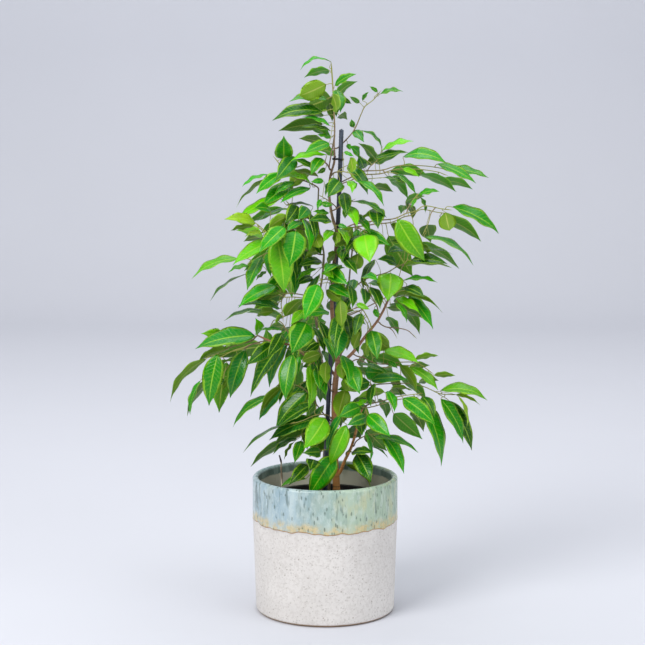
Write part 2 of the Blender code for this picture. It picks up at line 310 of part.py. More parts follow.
        (8.3, 28.4, 10.4, 25.2, 1.0, "o", -0.3), (9.6, 28.1, 12.8, 25.5, 1.0, "l", -0.4),
        (12.3, 27.1, 14.7, 27.1, 0.6, "o"), (7.1, 28.7, 8.2, 27.9, 0.5, "g"),
        (3.8, 28.4, 7.4, 27.1, 0.5, "t", -0.8)]),
    ("centre_26", "trunk", [(1.2, 26.8, 0.0), (1.7, 28.0, -1.8), (2.4, 28.6, -2.9)], [], [
        (2.5, 28.1, 3.9, 25.0, 2.1, "g", -0.6), (2.2, 27.0, 2.9, 25.2, 1.3, "o", 0.5)]),
]

# Shoots behind, each the counterpart of one in front: (name, stem, height it leaves the stem, front
# shoot, how far back).
BACK = [
    ("back_top", "trunk", 50.2, "crown_tip", 2.6),
    ("back_right_high", "stem_right", 45.0, "right_high", 4.2),
    ("back_right_mid", "stem_right", 42.2, "right_mid", 5.0),
    ("back_right_36", "stem_right", 34.0, "right_36", 4.4),
    ("back_centre_33", "stem_right", 31.5, "centre_33", 8.5),
    ("back_left_33", "stem_left", 32.0, "centre_left_33", 9.5),
    ("back_left_43", "stem_left", 41.6, "left_43", 7.5),
    ("back_left_36", "stem_left", 34.6, "left_36", 4.2),
    ("back_left_30", "stem_left", 29.6, "left_30", 4.4),
    ("back_right_28", "stem_right", 27.6, "right_28", 4.6),
    ("back_right_24", "stem_right", 23.0, "right_24", 5.4),
    ("back_left_22", "stem_left", 21.6, "left_22", 5.6),
    ("back_centre_37", "stem_right", 36.6, "centre_37", 12.0),
    ("back_left_45", "stem_left", 43.6, "left_45", 9.0),
    ("back_centre_27", "stem_right", 26.0, "left_27", 9.0),
]
SPARSE = ("crown_tip", "right_top", "low_front", "low_right", "low_right_front", "right_bare",
          "centre_left_33", "left_51")
NODE_SPACING = 0.003
STEM_STEP = 0.014  # between the sections of a stem
SMALL_LEAF = 0.034  # a shorter leaf is drawn with one section fewer
SHORTEST_STALK = 0.0046
LONGEST_STALK = 0.037
SHARPEST_TURN = 2.5


def place(x, z, y):
    """A point of the front elevation, in centimetres, at depth y, in metres."""
    flat = Vector((x * CM, 0.0, z * CM - LOWER))
    laid = EYE + (flat - EYE) * ((y * CM - EYE.y) / -EYE.y)
    wide, tall = CROWN_SPREAD / LAID_SPREAD, CROWN_HEIGHT / LAID_HEIGHT
    return Vector((laid.x * wide, laid.y * wide, SOIL_TOP + (laid.z - LAID_SOIL) * tall))


def on_elevation(point):
    """Where a point shows on the elevation: what place() does, undone for its depth."""
    return EYE + (point - EYE) * (-EYE.y / (point.y - EYE.y))


class Path:
    """A smooth curve through points, with its length."""

    def __init__(self, points, radii=None, fine=0.0015):
        self.points, self.radii = [], []
        radii = radii or [0.0] * len(points)
        ends = [points[0] * 2 - points[1]] + list(points) + [points[-1] * 2 - points[-2]]
        for i in range(len(points) - 1):
            a, b, c, d = ends[i:i + 4]
            u, v, w = (max((q - p).length, 1e-6) ** 0.5 for p, q in ((a, b), (b, c), (c, d)))
            leave = ((b - a) / u - (c - a) / (u + v) + (c - b) / v) * v
            arrive = ((c - b) / v - (d - b) / (v + w) + (d - c) / w) * v
            steps = max(2, int((c - b).length / fine))
            for k in range(steps + (i == len(points) - 2)):
                t = k / steps
                self.points.append(b * (2 * t ** 3 - 3 * t * t + 1) + leave * (t ** 3 - 2 * t * t + t)
                                   + c * (3 * t * t - 2 * t ** 3) + arrive * (t ** 3 - t * t))
                self.radii.append(radii[i] * (1 - t) + radii[i + 1] * t)
        self.along = [0.0]
        for p, q in zip(self.points, self.points[1:]):
            self.along.append(self.along[-1] + (q - p).length)
        self.length = self.along[-1]

    def at(self, s):
        s = min(max(s, 0.0), self.length)
        i = min(max(bisect.bisect_right(self.along, s) - 1, 0), len(self.points) - 2)
        t = (s - self.along[i]) / max(self.along[i + 1] - self.along[i], 1e-9)
        return self.points[i].lerp(self.points[i + 1], t)

    def radius(self, s):
        i = min(max(bisect.bisect_right(self.along, s) - 1, 0), len(self.points) - 1)
        return self.radii[i]

    def heading(self, s):
        return (self.at(s + 0.001) - self.at(s - 0.001)).normalized()

    def nearest(self, point, least=0.0, most=1e9):
        spans = [((p - point).length, s) for p, s in zip(self.points, self.along)
                 if least <= s <= min(most, self.length)]
        return min(spans)[1] if spans else self.length * 0.5


def stem_path(name):
    rows = STEMS[name]
    return Path([place(x, z, y) for x, z, y, r in rows], [r * CM * STEM_GROWTH for x, z, y, r in rows])


def frames(path, stations, start=None):
    """Side and up vectors at each station, carried along the path without twist."""
    out, side, last = [], start, stations[0]
    for s in stations:
        steps = max(1, int((s - last) / 0.001))
        for k in range(steps):
            ahead = path.heading(last + (s - last) * (k + 1) / steps)
            if side is None:
                side = ahead.cross(Vector((0, 0, 1)))
                if side.length < 0.2:
                    side = ahead.cross(Vector((0, 1, 0)))
            side = (side - ahead * side.dot(ahead)).normalized()
        out.append((side.copy(), ahead.cross(side)))
        last = s
    return out


def leaf_points(leaf, t, across, spare=0.0):
    """A point of a leaf's middle surface: t from base to tip, across from -1 to 1."""
    rise = leaf["arch"] * leaf["length"] * 4 * t * (1 - t)
    middle = leaf["base"] + leaf["axis"] * (leaf["length"] * t) + leaf["normal"] * rise
    return middle, leaf["side"] * across, leaf["normal"] * (abs(across) * leaf["fold"])


def blade_rings(leaf, spare=0.0):
    """The leaf's four-cornered sections and its tip. The first shares out the turn from its stalk."""
    half, thick = leaf["width"] / 2 + spare, BLADE_THICKNESS / 2 + spare
    ahead = ((leaf["base"] - leaf["root"]).normalized() + leaf["axis"]).normalized()
    across = (leaf["side"] - ahead * ahead.dot(leaf["side"])).normalized()
    out, rise = across * (PETIOLE_RADIUS * 1.3 + spare), ahead.cross(across) * (PETIOLE_RADIUS + spare)
    rings = [[leaf["base"] + v for v in (out, rise, -out, -rise)]]
    small = leaf["length"] < SMALL_LEAF
    for t, share in ((0.45, 0.95),) if small else ((0.36, 1.0), (0.76, 0.55)):
        middle, out, up = leaf_points(leaf, t, half * share)
        rise = leaf["normal"] * thick
        rings.append([middle + out + up, middle - rise, middle - out + up, middle + rise])
    tip = leaf["base"] + leaf["axis"] * (leaf["length"] + spare)
    return rings, tip


def tube_faces(count, sides, first=0):
    return [(first + k * sides + i, first + k * sides + (i + 1) % sides,
             first + (k + 1) * sides + (i + 1) % sides, first + (k + 1) * sides + i)
            for k in range(count - 1) for i in range(sides)]


def blade_shell(leaf, spare, bare=0.0018):
    """Points and faces of a leaf and its stalk but for a bare start, to test for room."""
    rings, tip = blade_rings(leaf, spare)
    faces = []
    stalk = leaf["base"] - leaf["root"]
    if bare < stalk.length:
        start = leaf["root"] + stalk.normalized() * bare
        rings = [[start + (p - leaf["base"]) for p in rings[0]]] + rings
    points = [p for ring in rings for p in ring] + [tip]
    faces = tube_faces(len(rings), 4)
    last = (len(rings) - 1) * 4
    faces += [(last + i, last + (i + 1) % 4, len(points) - 1) for i in range(4)]
    faces += [(0, 1, 2, 3)]
    # A bent quad may be split either way, so both ways are kept clear.
    halves = [corner for f in faces if len(f) == 4
              for corner in (f[:3], f[1:], (f[0], f[1], f[3]), (f[0], f[2], f[3]))]
    return points, halves + [f for f in faces if len(f) == 3]


def tube_shell(path, radius, least=0.0, step=0.006, sides=5):
    count = max(3, int((path.length - least) / step) + 1)
    stations = [least + (path.length - least) * k / (count - 1) for k in range(count)]
    points = []
    for s, (side, up) in zip(stations, frames(path, stations)):
        r = radius if radius is not None else path.radius(s)
        for i in range(sides):
            turn = 2 * math.pi * i / sides
            points.append(path.at(s) + (side * math.cos(turn) + up * math.sin(turn)) * r)
    faces = tube_faces(count, sides)
    return points, faces + [tuple(range(sides)), tuple(range((count - 1) * sides, count * sides))]


class Room:
    """What is already in place, so that new pieces grow clear of it."""

    def __init__(self):
        self.things = []

    def add(self, points, faces, owner):
        low = [min(p[k] for p in points) for k in range(3)]
        high = [max(p[k] for p in points) for k in range(3)]
        self.things.append((low, high, BVHTree.FromPolygons(points, faces), owner))

    def clear(self, points, faces, skip=()):
        low = [min(p[k] for p in points) for k in range(3)]
        high = [max(p[k] for p in points) for k in range(3)]
        tree = None
        for a, b, other, owner in self.things:
            if owner in skip or any(a[k] > high[k] or b[k] < low[k] for k in range(3)):
                continue
            tree = tree or BVHTree.FromPolygons(points, faces)
            if tree.overlap(other):
                return False
        return True


def make_leaf(row, root_point, depth, forward, chance, back):
    """A leaf from its row: where it lies in space, how it is turned and how it bends."""
    bx, bz, tx, tz, breadth, tone = row[:6]
    arch = row[7] if len(row) > 7 else chance.uniform(0.05, 0.09)
    seen = math.hypot(tx - bx, tz - bz) * CM
    length = max(seen, LEAF_LENGTH * chance.uniform(0.86, 1.06) if breadth > 0.7 else seen * 1.05)
    if breadth * CM / max(seen, 0.001) < 0.3:
        length = max(seen, min(length, seen * 1.12))
    dip = math.sqrt(max(length ** 2 - seen ** 2, 0.0)) / CM
    dip = min(dip, 2.6) * (1 if back else -1) + forward
    base = place(bx, bz, depth)
    tip = place(tx, tz, depth + dip)
    if (base - root_point).length < SHORTEST_STALK:
        away = base - root_point + (tip - base).normalized() * 0.002
        base = root_point + away.normalized() * SHORTEST_STALK
    axis = (tip - base).normalized()
    length = (tip - base).length
    width = max(breadth * CM, length * chance.uniform(0.33, 0.4))
    turn = math.acos(min(breadth * CM / width, 1.0))
    look = (base - EYE).normalized()
    facing = -(look - axis * look.dot(axis)).normalized()
    sideways = axis.cross(facing).normalized()
    choices = []
    for sign in (1, -1):
        normal = facing * math.cos(turn) + sideways * math.sin(turn) * sign
        choices.append(normal)
    normal = max(choices, key=lambda n: n.z * (-1 if tone == "o" else 1))
    if tone == "o":
        normal = -normal
    if back and tone != "o":
        normal = normal - facing * 2 * normal.dot(facing)
    normal = (normal - axis * normal.dot(axis)).normalized()
    return {"base": base, "axis": axis, "length": length, "width": width, "normal": normal,
            "side": axis.cross(normal), "arch": arch, "fold": chance.uniform(0.1, 0.22),
            "tone": tone, "root": root_point}


NUDGES = [(0, 0), (-0.4, 0), (0.4, 0), (-0.8, 0), (0.8, 0), (0, -0.8), (0, 0.8), (-1.3, 0),
          (1.3, 0), (-0.6, -0.9), (0.6, 0.9), (-1.9, 0), (1.9, 0), (-1.2, -1.4), (1.2, 1.4),
          (-2.5, 0), (2.5, 0), (-3.2, -0.8), (3.2, 0.8), (-4, 0), (4, 0)]


def free_place(used, s, least, most):
    """The place on a twig nearest to s that is far enough from the leaves already on it."""
    for k in range(60):
        for way in (1, -1):
            t = s + way * k * 0.0012
            if least <= t <= most and all(abs(t - u) >= NODE_SPACING for u in used):
                return t
    return None


def grow():
    """All twigs and leaves, each clear of the others."""
    room, stems, shoots = Room(), {}, []
    for name in STEMS:
        stems[name] = stem_path(name)
        room.add(*tube_shell(stems[name], None, step=STEM_STEP, sides=8), "stem:" + name)
    stake = Path([place(*p) for p in STAKE_PATH])
    room.add(*tube_shell(stake, STAKE_RADIUS, sides=8), "stake")
    room.add(*tube_shell(Path([place(*p) for p in DRY_PATH]), DRY_RADIUS), "dry")
    for points, faces in pot_shells():
        room.add(points, faces, "pot")
    plan = []
    for name, stem, points, sides, leaves in SHOOTS:
        more = []
        for k, row in enumerate(leaves):
            if row[4] >= 0.8 and abs(row[0]) < 8.0 and name not in SPARSE:
                chance = random.Random("%s %d" % (name, k))
                dx, dz = -0.2 * row[0] + chance.uniform(-0.4, 0.4), chance.uniform(0.8, 1.9)
                more.append((row[0] + dx, row[1] + dz, row[2] * 0.85 + dx, row[3] + dz - 0.3,
                             chance.uniform(0.8, 1.8), chance.choice("ddggto"), 1.6))
        plan.append((name, stem, points, sides, leaves + more, False))
    rows = {name: (points, sides, leaves) for name, stem, points, sides, leaves in SHOOTS}
    for name, stem, height, front, behind in BACK:
        points, sides, leaves = rows[front]
        chance = random.Random("back " + name)
        path = [point for point in STEMS[stem]]
        foot = min(path, key=lambda p: abs(p[1] - height))
        path = [(foot[0], height, foot[2])]
        for k, (x, z, y) in enumerate(points[1:]):
            share = (k + 1) / (len(points) - 1)
            path.append((x * 0.97, z - 0.4, foot[2] + behind * (0.3 + 0.7 * share)
                         + 0.5 * math.sin(3.0 * share)))
        twins = []
        for row in leaves:
            dx, dz = chance.uniform(-0.5, 0.5), chance.uniform(-1.9, -0.6)
            tone = {"o": "d", "l": "g", "y": "l"}.get(row[5], row[5])
            twins.append((row[0] * 0.88 + dx, row[1] + dz, row[2] * 0.88 + dx, row[3] + dz + 0.2,
                          max(row[4], 0.9) * 1.05, tone))
        plan.append((name, stem, path, [], twins, True))
    for name, stem, points, sides, leaves, back in plan:
        chance = random.Random(name)
        trunk = stems[stem]
        first = place(*points[0])
        s0 = trunk.nearest(first)
        for shift in (0, 0.6, -0.6, 1.2, -1.2, 1.8, -1.8, 2.6, -2.6):
            s1 = min(max(s0 + shift * CM, 0.0), trunk.length)
            core = trunk.at(s1)
            track = [place(x, z, y + shift * 0.35 * (k > 0)) for k, (x, z, y) in enumerate(points)]
            away = (track[1] - core)
            along = trunk.heading(s1)
            if s1 > trunk.length - 0.004 and (first - trunk.points[-1]).length < 0.004:
                away = along
                core = trunk.points[-1]
                begin = core + along * GAP * 1.2
                track = [begin, begin + along * 0.003] + track[1:]
            else:
                away = (away - along * away.dot(along)).normalized()
                begin = core + away * (trunk.radius(s1) + GAP)
                track = [begin, begin + away * 0.003 + along * 0.0004] + track[1:]
            if (track[2] - track[1]).length < 0.003:
                track.pop(2)
            main = Path(track)
            if room.clear(*tube_shell(main, TWIG_RADIUS + 0.0004, 0.0012), {"stem:" + stem}) and \
                    room.clear(*tube_shell(main, TWIG_RADIUS, 0.0), {None}):
                break
        twigs = [{"path": main, "parent": None, "from": 0.0, "used": []}]
        room.add(*tube_shell(main, TWIG_RADIUS), name + ":twig")
        for row in sides:
            track = [place(*p) for p in row]
            s1 = free_place(twigs[0]["used"], main.nearest(track[0]), 0.006, main.length - 0.004)
            foot, along = main.at(s1), main.heading(s1)
            away = track[1] - foot
            if away.length > 0.008:
                lean = 0.5 if away.dot(along) > 0 else -0.5
                away = (away - along * away.dot(along)).normalized() + along * lean
                track[:1] = [foot, foot + away.normalized() * 0.004]
            side = Path([foot] + track[1:])
            room.add(*tube_shell(side, TWIG_RADIUS * 0.8, 0.002), name + ":twig")
            twigs.append({"path": side, "parent": 0, "from": s1, "used": []})
            twigs[0]["used"].append(s1)
        shoots.append({"name": name, "twigs": twigs, "leaves": [], "back": back, "rows": leaves,
                       "chance": chance})
    lost = []
    for shoot in shoots:
        for row in shoot["rows"]:
            forward = row[6] if len(row) > 6 else 0.0
            best = None
            flat = place(row[0], row[1], 0.0)
            for k, twig in enumerate(shoot["twigs"]):
                path = twig["path"]
                for s, p in zip(path.along[::3], path.points[::3]):
                    if s < 0.008 or (k and s < 0.006):
                        continue
                    far = (on_elevation(p) - flat).length
                    if best is None or far < best[0]:
                        best = (far, k, s, p)
            far, which, s, root = best
            twig = shoot["twigs"][which]
            s = free_place(twig["used"], s, 0.009 if which else 0.01, twig["path"].length - 0.002)
            if s is None:
                lost.append((shoot["name"], "no place"))
                continue
            root = twig["path"].at(s)
            depth = root.y / CM + (forward if not shoot["back"] else shoot["chance"].uniform(0, 0.8))
            state = shoot["chance"].getstate()
            for size in (1.0, 0.8, 0.62):
                for shift, lean in NUDGES:
                    shoot["chance"].setstate(state)
                    if shoot["back"]:
                        shift = abs(shift) * 0.7
                    leaf = make_leaf(row[:4] + (row[4] * size,) + row[5:], root, depth + shift, lean,
                                     shoot["chance"], shoot["back"])
                    if size < 1:
                        leaf["width"] *= size
                        leaf["length"] *= 0.5 + size / 2
                    stalk = leaf["base"] - root
                    if stalk.length > LONGEST_STALK or stalk.angle(leaf["axis"]) > SHARPEST_TURN:
                        continue
                    if not room.clear(*blade_shell(leaf, 0.0005), {shoot["name"] + ":twig"}):
                        continue
                    if not room.clear(*blade_shell(leaf, 0.0007, 0.0042)):
                        continue
                    break
                else:
                    continue
                break
            else:
                lost.append((shoot["name"], row[:4]))
                continue
            leaf["twig"], leaf["s"] = which, s
            twig["used"].append(s)
            room.add(*blade_shell(leaf, 0.0), shoot["name"])
            shoot["leaves"].append(leaf)
    return stems, stake, shoots, lost


# ---------------------------------------------------------------- pots and soil
def pot_profile():
    """The cover pot's section, as (radius, height), from the middle of its foot round to inside."""
    foot = POT_RADIUS - POT_TAPER - GLAZE_THICKNESS
    body = POT_RADIUS - GLAZE_THICKNESS
    points = [(0.0, 0.0)]
    for k in range(4):
        turn = math.pi / 2 * k / 3
        points.append((foot - FOOT_ROUND + FOOT_ROUND * math.sin(turn),
                       FOOT_ROUND - FOOT_ROUND * math.cos(turn)))
    glaze = POT_HEIGHT - GLAZE_DEPTH
    points += [(body, glaze - 0.0006), (POT_RADIUS, glaze)]
    half = POT_WALL / 2
    middle = POT_RADIUS - half
    for k in range(7):
        turn = math.pi * k / 6
        points.append((middle + half * math.cos(turn), POT_HEIGHT - half + half * math.sin(turn)))
    inner = POT_RADIUS - POT_WALL
    points += [(inner - 0.001, POT_FLOOR + 0.006), (inner - 0.005, POT_FLOOR), (0.0, POT_FLOOR)]
    return points


def nursery_profile():
    top, foot = NURSERY_RADIUS - NURSERY_LIP, NURSERY_RADIUS - NURSERY_TAPER
    lip = NURSERY_TOP - NURSERY_LIP_HEIGHT
    return [(0.0, NURSERY_BOTTOM), (foot, NURSERY_BOTTOM), (top, lip), (NURSERY_RADIUS, lip),
            (NURSERY_RADIUS, NURSERY_TOP), (top - NURSERY_WALL, NURSERY_TOP),
            (top - NURSERY_WALL, lip), (foot - NURSERY_WALL, NURSERY_BOTTOM + NURSERY_WALL),
            (0.0, NURSERY_BOTTOM + NURSERY_WALL)]


def soil_profile():
    wall = NURSERY_WALL + GAP
    top, foot = NURSERY_RADIUS - NURSERY_LIP - wall, NURSERY_RADIUS - NURSERY_TAPER - wall
    lip = NURSERY_TOP - NURSERY_LIP_HEIGHT
    low = NURSERY_BOTTOM + wall
    edge = foot + (top - foot) * min(1.0, (SOIL_TOP - low) / (lip - low))
    return [(0.0, low), (foot, low), (edge, SOIL_TOP - 0.001), (edge * 0.7, SOIL_TOP),
            (edge * 0.35, SOIL_TOP + SOIL_MOUND * 0.5), (0.0, SOIL_TOP + SOIL_MOUND * 0.5)]


def lathe(profile, count):
    """Points and faces of a closed turned solid, from a section that starts and ends on the axis."""
    points, faces, rows = [], [], []
    for radius, height in profile:
        if radius < 1e-6:
            rows.append([len(points)] * count)
            points.append(Vector((0.0, 0.0, height)))
        else:
            rows.append([len(points) + i for i in range(count)])
            points += [Vector((radius * math.cos(2 * math.pi * i / count),
                               radius * math.sin(2 * math.pi * i / count), height))
                       for i in range(count)]
    for a, b in zip(rows, rows[1:]):
        for i in range(count):
            j = (i + 1) % count
            face = []
            for v in (a[i], a[j], b[j], b[i]):
                if v not in face:
                    face.append(v)
            if len(face) > 2:
                faces.append(tuple(face))
    return points, faces


def pot_shells():
    return [lathe(pot_profile(), 40), lathe(nursery_profile(), 32), lathe(soil_profile(), 24)]


# ---------------------------------------------------------------- solids
def facing_of(loop):
    """Middle of a loop of vertices, and the way it faces."""
    points = [v.co for v in loop]
    middle = sum(points, Vector()) / len(points)
    ahead = sum((p.cross(q) for p, q in zip(points, points[1:] + points[:1])), Vector())
    return middle, ahead.normalized()


def bridge(bm, loop, ring):
    """Join two four-cornered loops, wound the same way, with the least twist."""
    turns = [loop[k:] + loop[:k] for k in range(4)]
    order = min(turns, key=lambda t: sum((a.co - b.co).length_squared for a, b in zip(ring, t)))
    for i in range(4):
        j = (i + 1) % 4
        bm.faces.new((order[i], order[j], ring[j], ring[i]))


def knee(bm, loop, radius, aim):
    """The start of a stalk, which leaves the face it grows from before it turns to its aim."""
    middle, out = facing_of(loop)
    foot = middle + out * radius * 1.6
    ahead = (out + (aim - foot).normalized()).normalized()
    ring = []
    for v in loop:
        arm = v.co - middle
        arm = (arm - ahead * arm.dot(ahead)).normalized()
        ring.append(bm.verts.new(foot + arm * radius * 1.2))
    for i in range(4):
        j = (i + 1) % 4
        bm.faces.new((loop[i], loop[j], ring[j], ring[i]))
    return ring


def add_leaf(bm, loop, leaf):
    """A stalk and blade. Both sides of the blade are divided alike, so they never cross."""
    rings, tip = blade_rings(leaf)
    rings = [[bm.verts.new(p) for p in ring] for ring in rings]
    bridge(bm, knee(bm, loop, PETIOLE_RADIUS, leaf["base"]), rings[0])
    for a, b in zip(rings, rings[1:]):
        for i in range(4):
            j = (i + 1) % 4
            if i % 2:
                bm.faces.new((a[i], a[j], b[i]))
                bm.faces.new((a[j], b[j], b[i]))
            else:
                bm.faces.new((a[i], a[j], b[j]))
                bm.faces.new((a[i], b[j], b[i]))
    end = bm.verts.new(tip)
    for i in range(4):
        bm.faces.new((rings[-1][i], rings[-1][(i + 1) % 4], end))


def between(path, a, b):
    """Stations added from a to b, so that the twig bends little from one to the next."""
    steps = [a, b]
    k = 0
    while k < len(steps) - 1:
        p, q = steps[k], steps[k + 1]
        bend = path.heading(p).angle(path.heading(q))
        if q - p > 0.0012 and (bend > 0.5 or q - p > 0.018):
            steps.insert(k + 1, (p + q) / 2)
        else:
            k += 1
    return steps[1:-1]


def add_twig(bm, twig, index, shoot, loop=None):
    """A four-sided twig. Every leaf and side twig grows out of one of its faces."""
    path = twig["path"]
    kids = [(leaf["s"], leaf["base"], "leaf", leaf) for leaf in shoot["leaves"]
            if leaf["twig"] == index]
    kids += [(other["from"], other["path"].at(0.006), "twig", (k, other))
             for k, other in enumerate(shoot["twigs"]) if other["parent"] == index]
    kids.sort(key=lambda kid: kid[0])
    half = NODE_SPACING * 0.36
    start = 0.0 if loop is None else 0.006
    stations = [(start, None)]
    for kid in kids:
        stations += [(kid[0] - half, kid), (kid[0] + half, None)]
    end = path.length
    if kids and end - kids[-1][0] < 0.005:
        end = kids[-1][0] + half + 0.0006
    stations.append((end, None))
    filled = []
    for (a, kid), (b, _) in zip(stations, stations[1:]):
        filled.append((a, kid))
        filled += [(s, None) for s in ([] if kid else between(path, a, b))]
    filled.append(stations[-1])
    turns = frames(path, [s for s, kid in filled])
    last, pending = loop, []
    for (s, kid), (side, up) in zip(filled, turns):
        r = TWIG_RADIUS * (1.0 - 0.3 * s / path.length) * 0.8 * (0.8 if index else 1.0)
        middle = path.at(s)
        ring = [bm.verts.new(middle + side * (a * r) + up * (b * r))
                for a, b in ((1, 1), (-1, 1), (-1, -1), (1, -1))]
        if last is None:
            bm.faces.new(ring[::-1])
        elif s == filled[0][0]:
            bridge(bm, knee(bm, last, r, middle), ring)
        else:
            for i in range(4):
                j = (i + 1) % 4
                if i == skip:
                    pending.append(((last[i], last[j], ring[j], ring[i]), waiting))
                else:
                    bm.faces.new((last[i], last[j], ring[j], ring[i]))
        skip, waiting = None, kid
        if kid:
            aim = (kid[1] - path.at(kid[0])).normalized()
            spread = []
            for i in range(4):
                out = (ring[i].co + ring[(i + 1) % 4].co) * 0.5 - middle
                spread.append((out.normalized().dot(aim), i))
            skip = max(spread)[1]
        last = ring
    bm.faces.new(last)
    for open_loop, kid in pending:
        if kid[2] == "leaf":
            add_leaf(bm, list(open_loop), kid[3])
        else:
            add_twig(bm, kid[3][1], kid[3][0], shoot, list(open_loop))


def new_object(name, mesh, paint):
    item = bpy.data.objects.new(name, mesh)
    bpy.context.scene.collection.objects.link(item)
    mesh.materials.append(paint)
    return item


def from_bmesh(name, bm, paint, smooth=True):
    bmesh.ops.recalc_face_normals(bm, faces=bm.faces)
    if bm.calc_volume(signed=True) < 0:
        bmesh.ops.reverse_faces(bm, faces=bm.faces)
    mesh = bpy.data.meshes.new(name)
    bm.to_mesh(mesh)
    bm.free()
    if smooth:
        mesh.shade_smooth()
        mesh.set_sharp_from_angle(angle=math.radians(38))
    return new_object(name, mesh, paint)


def from_shell(name, points, faces, paint):
    bm = bmesh.new()
    verts = [bm.verts.new(p) for p in points]
    for face in faces:
        bm.faces.new([verts[i] for i in face])
    return from_bmesh(name, bm, paint)


def cut(target, tool, operation):
    """An exact Boolean whose tool stays hidden."""
    tool.hide_render = True
    tool.display_type = "WIRE"
    change = target.modifiers.new(tool.name, "BOOLEAN")
    change.operation = operation
    change.solver = "EXACT"
    change.object = tool


def paint(name, colour, roughness, metallic=0.0):
    material = bpy.data.materials.new(name)
    material.use_nodes = True
    shader = material.node_tree.nodes["Principled BSDF"]
    shader.inputs["Base Color"].default_value = (*colour, 1.0)
    shader.inputs["Roughness"].default_value = roughness
    shader.inputs["Metallic"].default_value = metallic
    material.diffuse_color = (*colour, 1.0)
    return material


def tie_loop(stake, trunk):
    """A thin band wound once round the stake and the leading stem."""
    height = place(1.4, TIE_LEVEL, 0.0).z
    a = min(stake.points, key=lambda p: abs(p.z - height))
    b = min((p for p in trunk.points if p.z > height - 0.02), key=lambda p: abs(p.z - height))
    ra, rb = STAKE_RADIUS, trunk.radius(trunk.nearest(b))
    line = Vector((b.x - a.x, b.y - a.y, 0.0))
    apart, ahead = line.length, line.normalized()
    square = Vector((-ahead.y, ahead.x, 0.0))
    lead = math.acos(max(-1.0, min(1.0, (ra - rb) / apart)))
    track, room = [], TIE_RADIUS + GAP
    for centre, radius, first, last in ((a, ra, lead, 2 * math.pi - lead), (b, rb, -lead, lead)):
        for k in range(7):
            turn = first + (last - first) * k / 6
            out = ahead * math.cos(turn) + square * math.sin(turn)
            track.append(Vector((centre.x, centre.y, height)) + out * (radius + room) * 1.04)
    points, faces, count = [], [], len(track)
    for k, p in enumerate(track):
        heading = (track[(k + 1) % count] - track[k - 1]).normalized()
        side = heading.cross(Vector((0, 0, 1)))
        for i in range(6):
            turn = 2 * math.pi * i / 6
            points.append(p + (side * math.cos(turn) + Vector((0, 0, math.sin(turn)))) * TIE_RADIUS)
    for k in range(count):
        for i in range(6):
            j, m = (i + 1) % 6, (k + 1) % count
            faces.append((k * 6 + i, k * 6 + j, m * 6 + j, m * 6 + i))
    return points, faces


def build():
    for item in list(bpy.data.objects):
        bpy.data.objects.remove(item)
    stoneware = paint("glazed_stoneware", (0.46, 0.50, 0.46), 0.32)
    plastic = paint("black_plastic", (0.018, 0.018, 0.02), 0.45)
    earth = paint("potting_soil", (0.028, 0.02, 0.012), 0.95)
    stake_paint = paint("stake_plastic", (0.035, 0.04, 0.065), 0.4)
    bark = paint("fig_bark", (0.26, 0.12, 0.05), 0.75)
    young = paint("young_bark", (0.24, 0.2, 0.1), 0.7)
    dry = paint("dry_wood", (0.36, 0.27, 0.17), 0.85)
    leaf = paint("fig_leaf", (0.055, 0.21, 0.015), 0.35)

    from_shell("cover_pot", *lathe(pot_profile(), 40), stoneware)
    from_shell("growing_pot", *lathe(nursery_profile(), 32), plastic)
    soil = from_shell("soil", *lathe(soil_profile(), 32), earth)

    stems, stake, shoots, lost = grow()
    solids = {}
    for name, stem in stems.items():
        solids[name] = from_shell(name, *tube_shell(stem, None, step=STEM_STEP, sides=8),
                                  young if name.startswith("stem") else bark)
    for name in ("bough_right", "bough_left", "bough_low"):
        cut(solids["trunk"], solids[name], "UNION")
    from_shell("stake", *tube_shell(stake, STAKE_RADIUS, step=0.05, sides=10), stake_paint)
    from_shell("stake_tie", *tie_loop(stake, stems["trunk"]), plastic)
    dry_path = Path([place(*p) for p in DRY_PATH])
    from_shell("dry_twig", *tube_shell(dry_path, DRY_RADIUS, step=0.012, sides=6), dry)
    bores = [(stems["trunk"], None, 8), (stems["stem_left"], None, 8), (stems["stem_right"], None, 8),
             (stake, STAKE_RADIUS, 10), (dry_path, DRY_RADIUS, 6)]
    for k, (path, radius, sides) in enumerate(bores):
        width = (radius or path.radius(0.0)) + GAP * 1.5
        foot = path.at(0.0) - Vector((0, 0, GAP))
        reach = max(0.03, SOIL_TOP + 0.012 - foot.z)
        top = min((path.at(s) for s in path.along if path.at(s).z < foot.z + reach),
                  key=lambda p: -p.z)
        bore = Path([foot, foot.lerp(top, 0.5), top + (top - foot).normalized() * 0.004])
        hole = from_shell("bore_%d" % k, *tube_shell(bore, width, step=0.03, sides=12), earth)
        cut(soil, hole, "DIFFERENCE")
    for shoot in shoots:
        bm = bmesh.new()
        add_twig(bm, shoot["twigs"][0], 0, shoot)
        from_bmesh("shoot_" + shoot["name"], bm, leaf, smooth=False)
    return lost


build()
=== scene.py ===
"""The looks of a young weeping fig in its pots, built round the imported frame.

The tree grows here by the same rules as its solids do, so that each visible leaf, twig and stem
lies where its solid is.
"""

import bisect
import math
import random

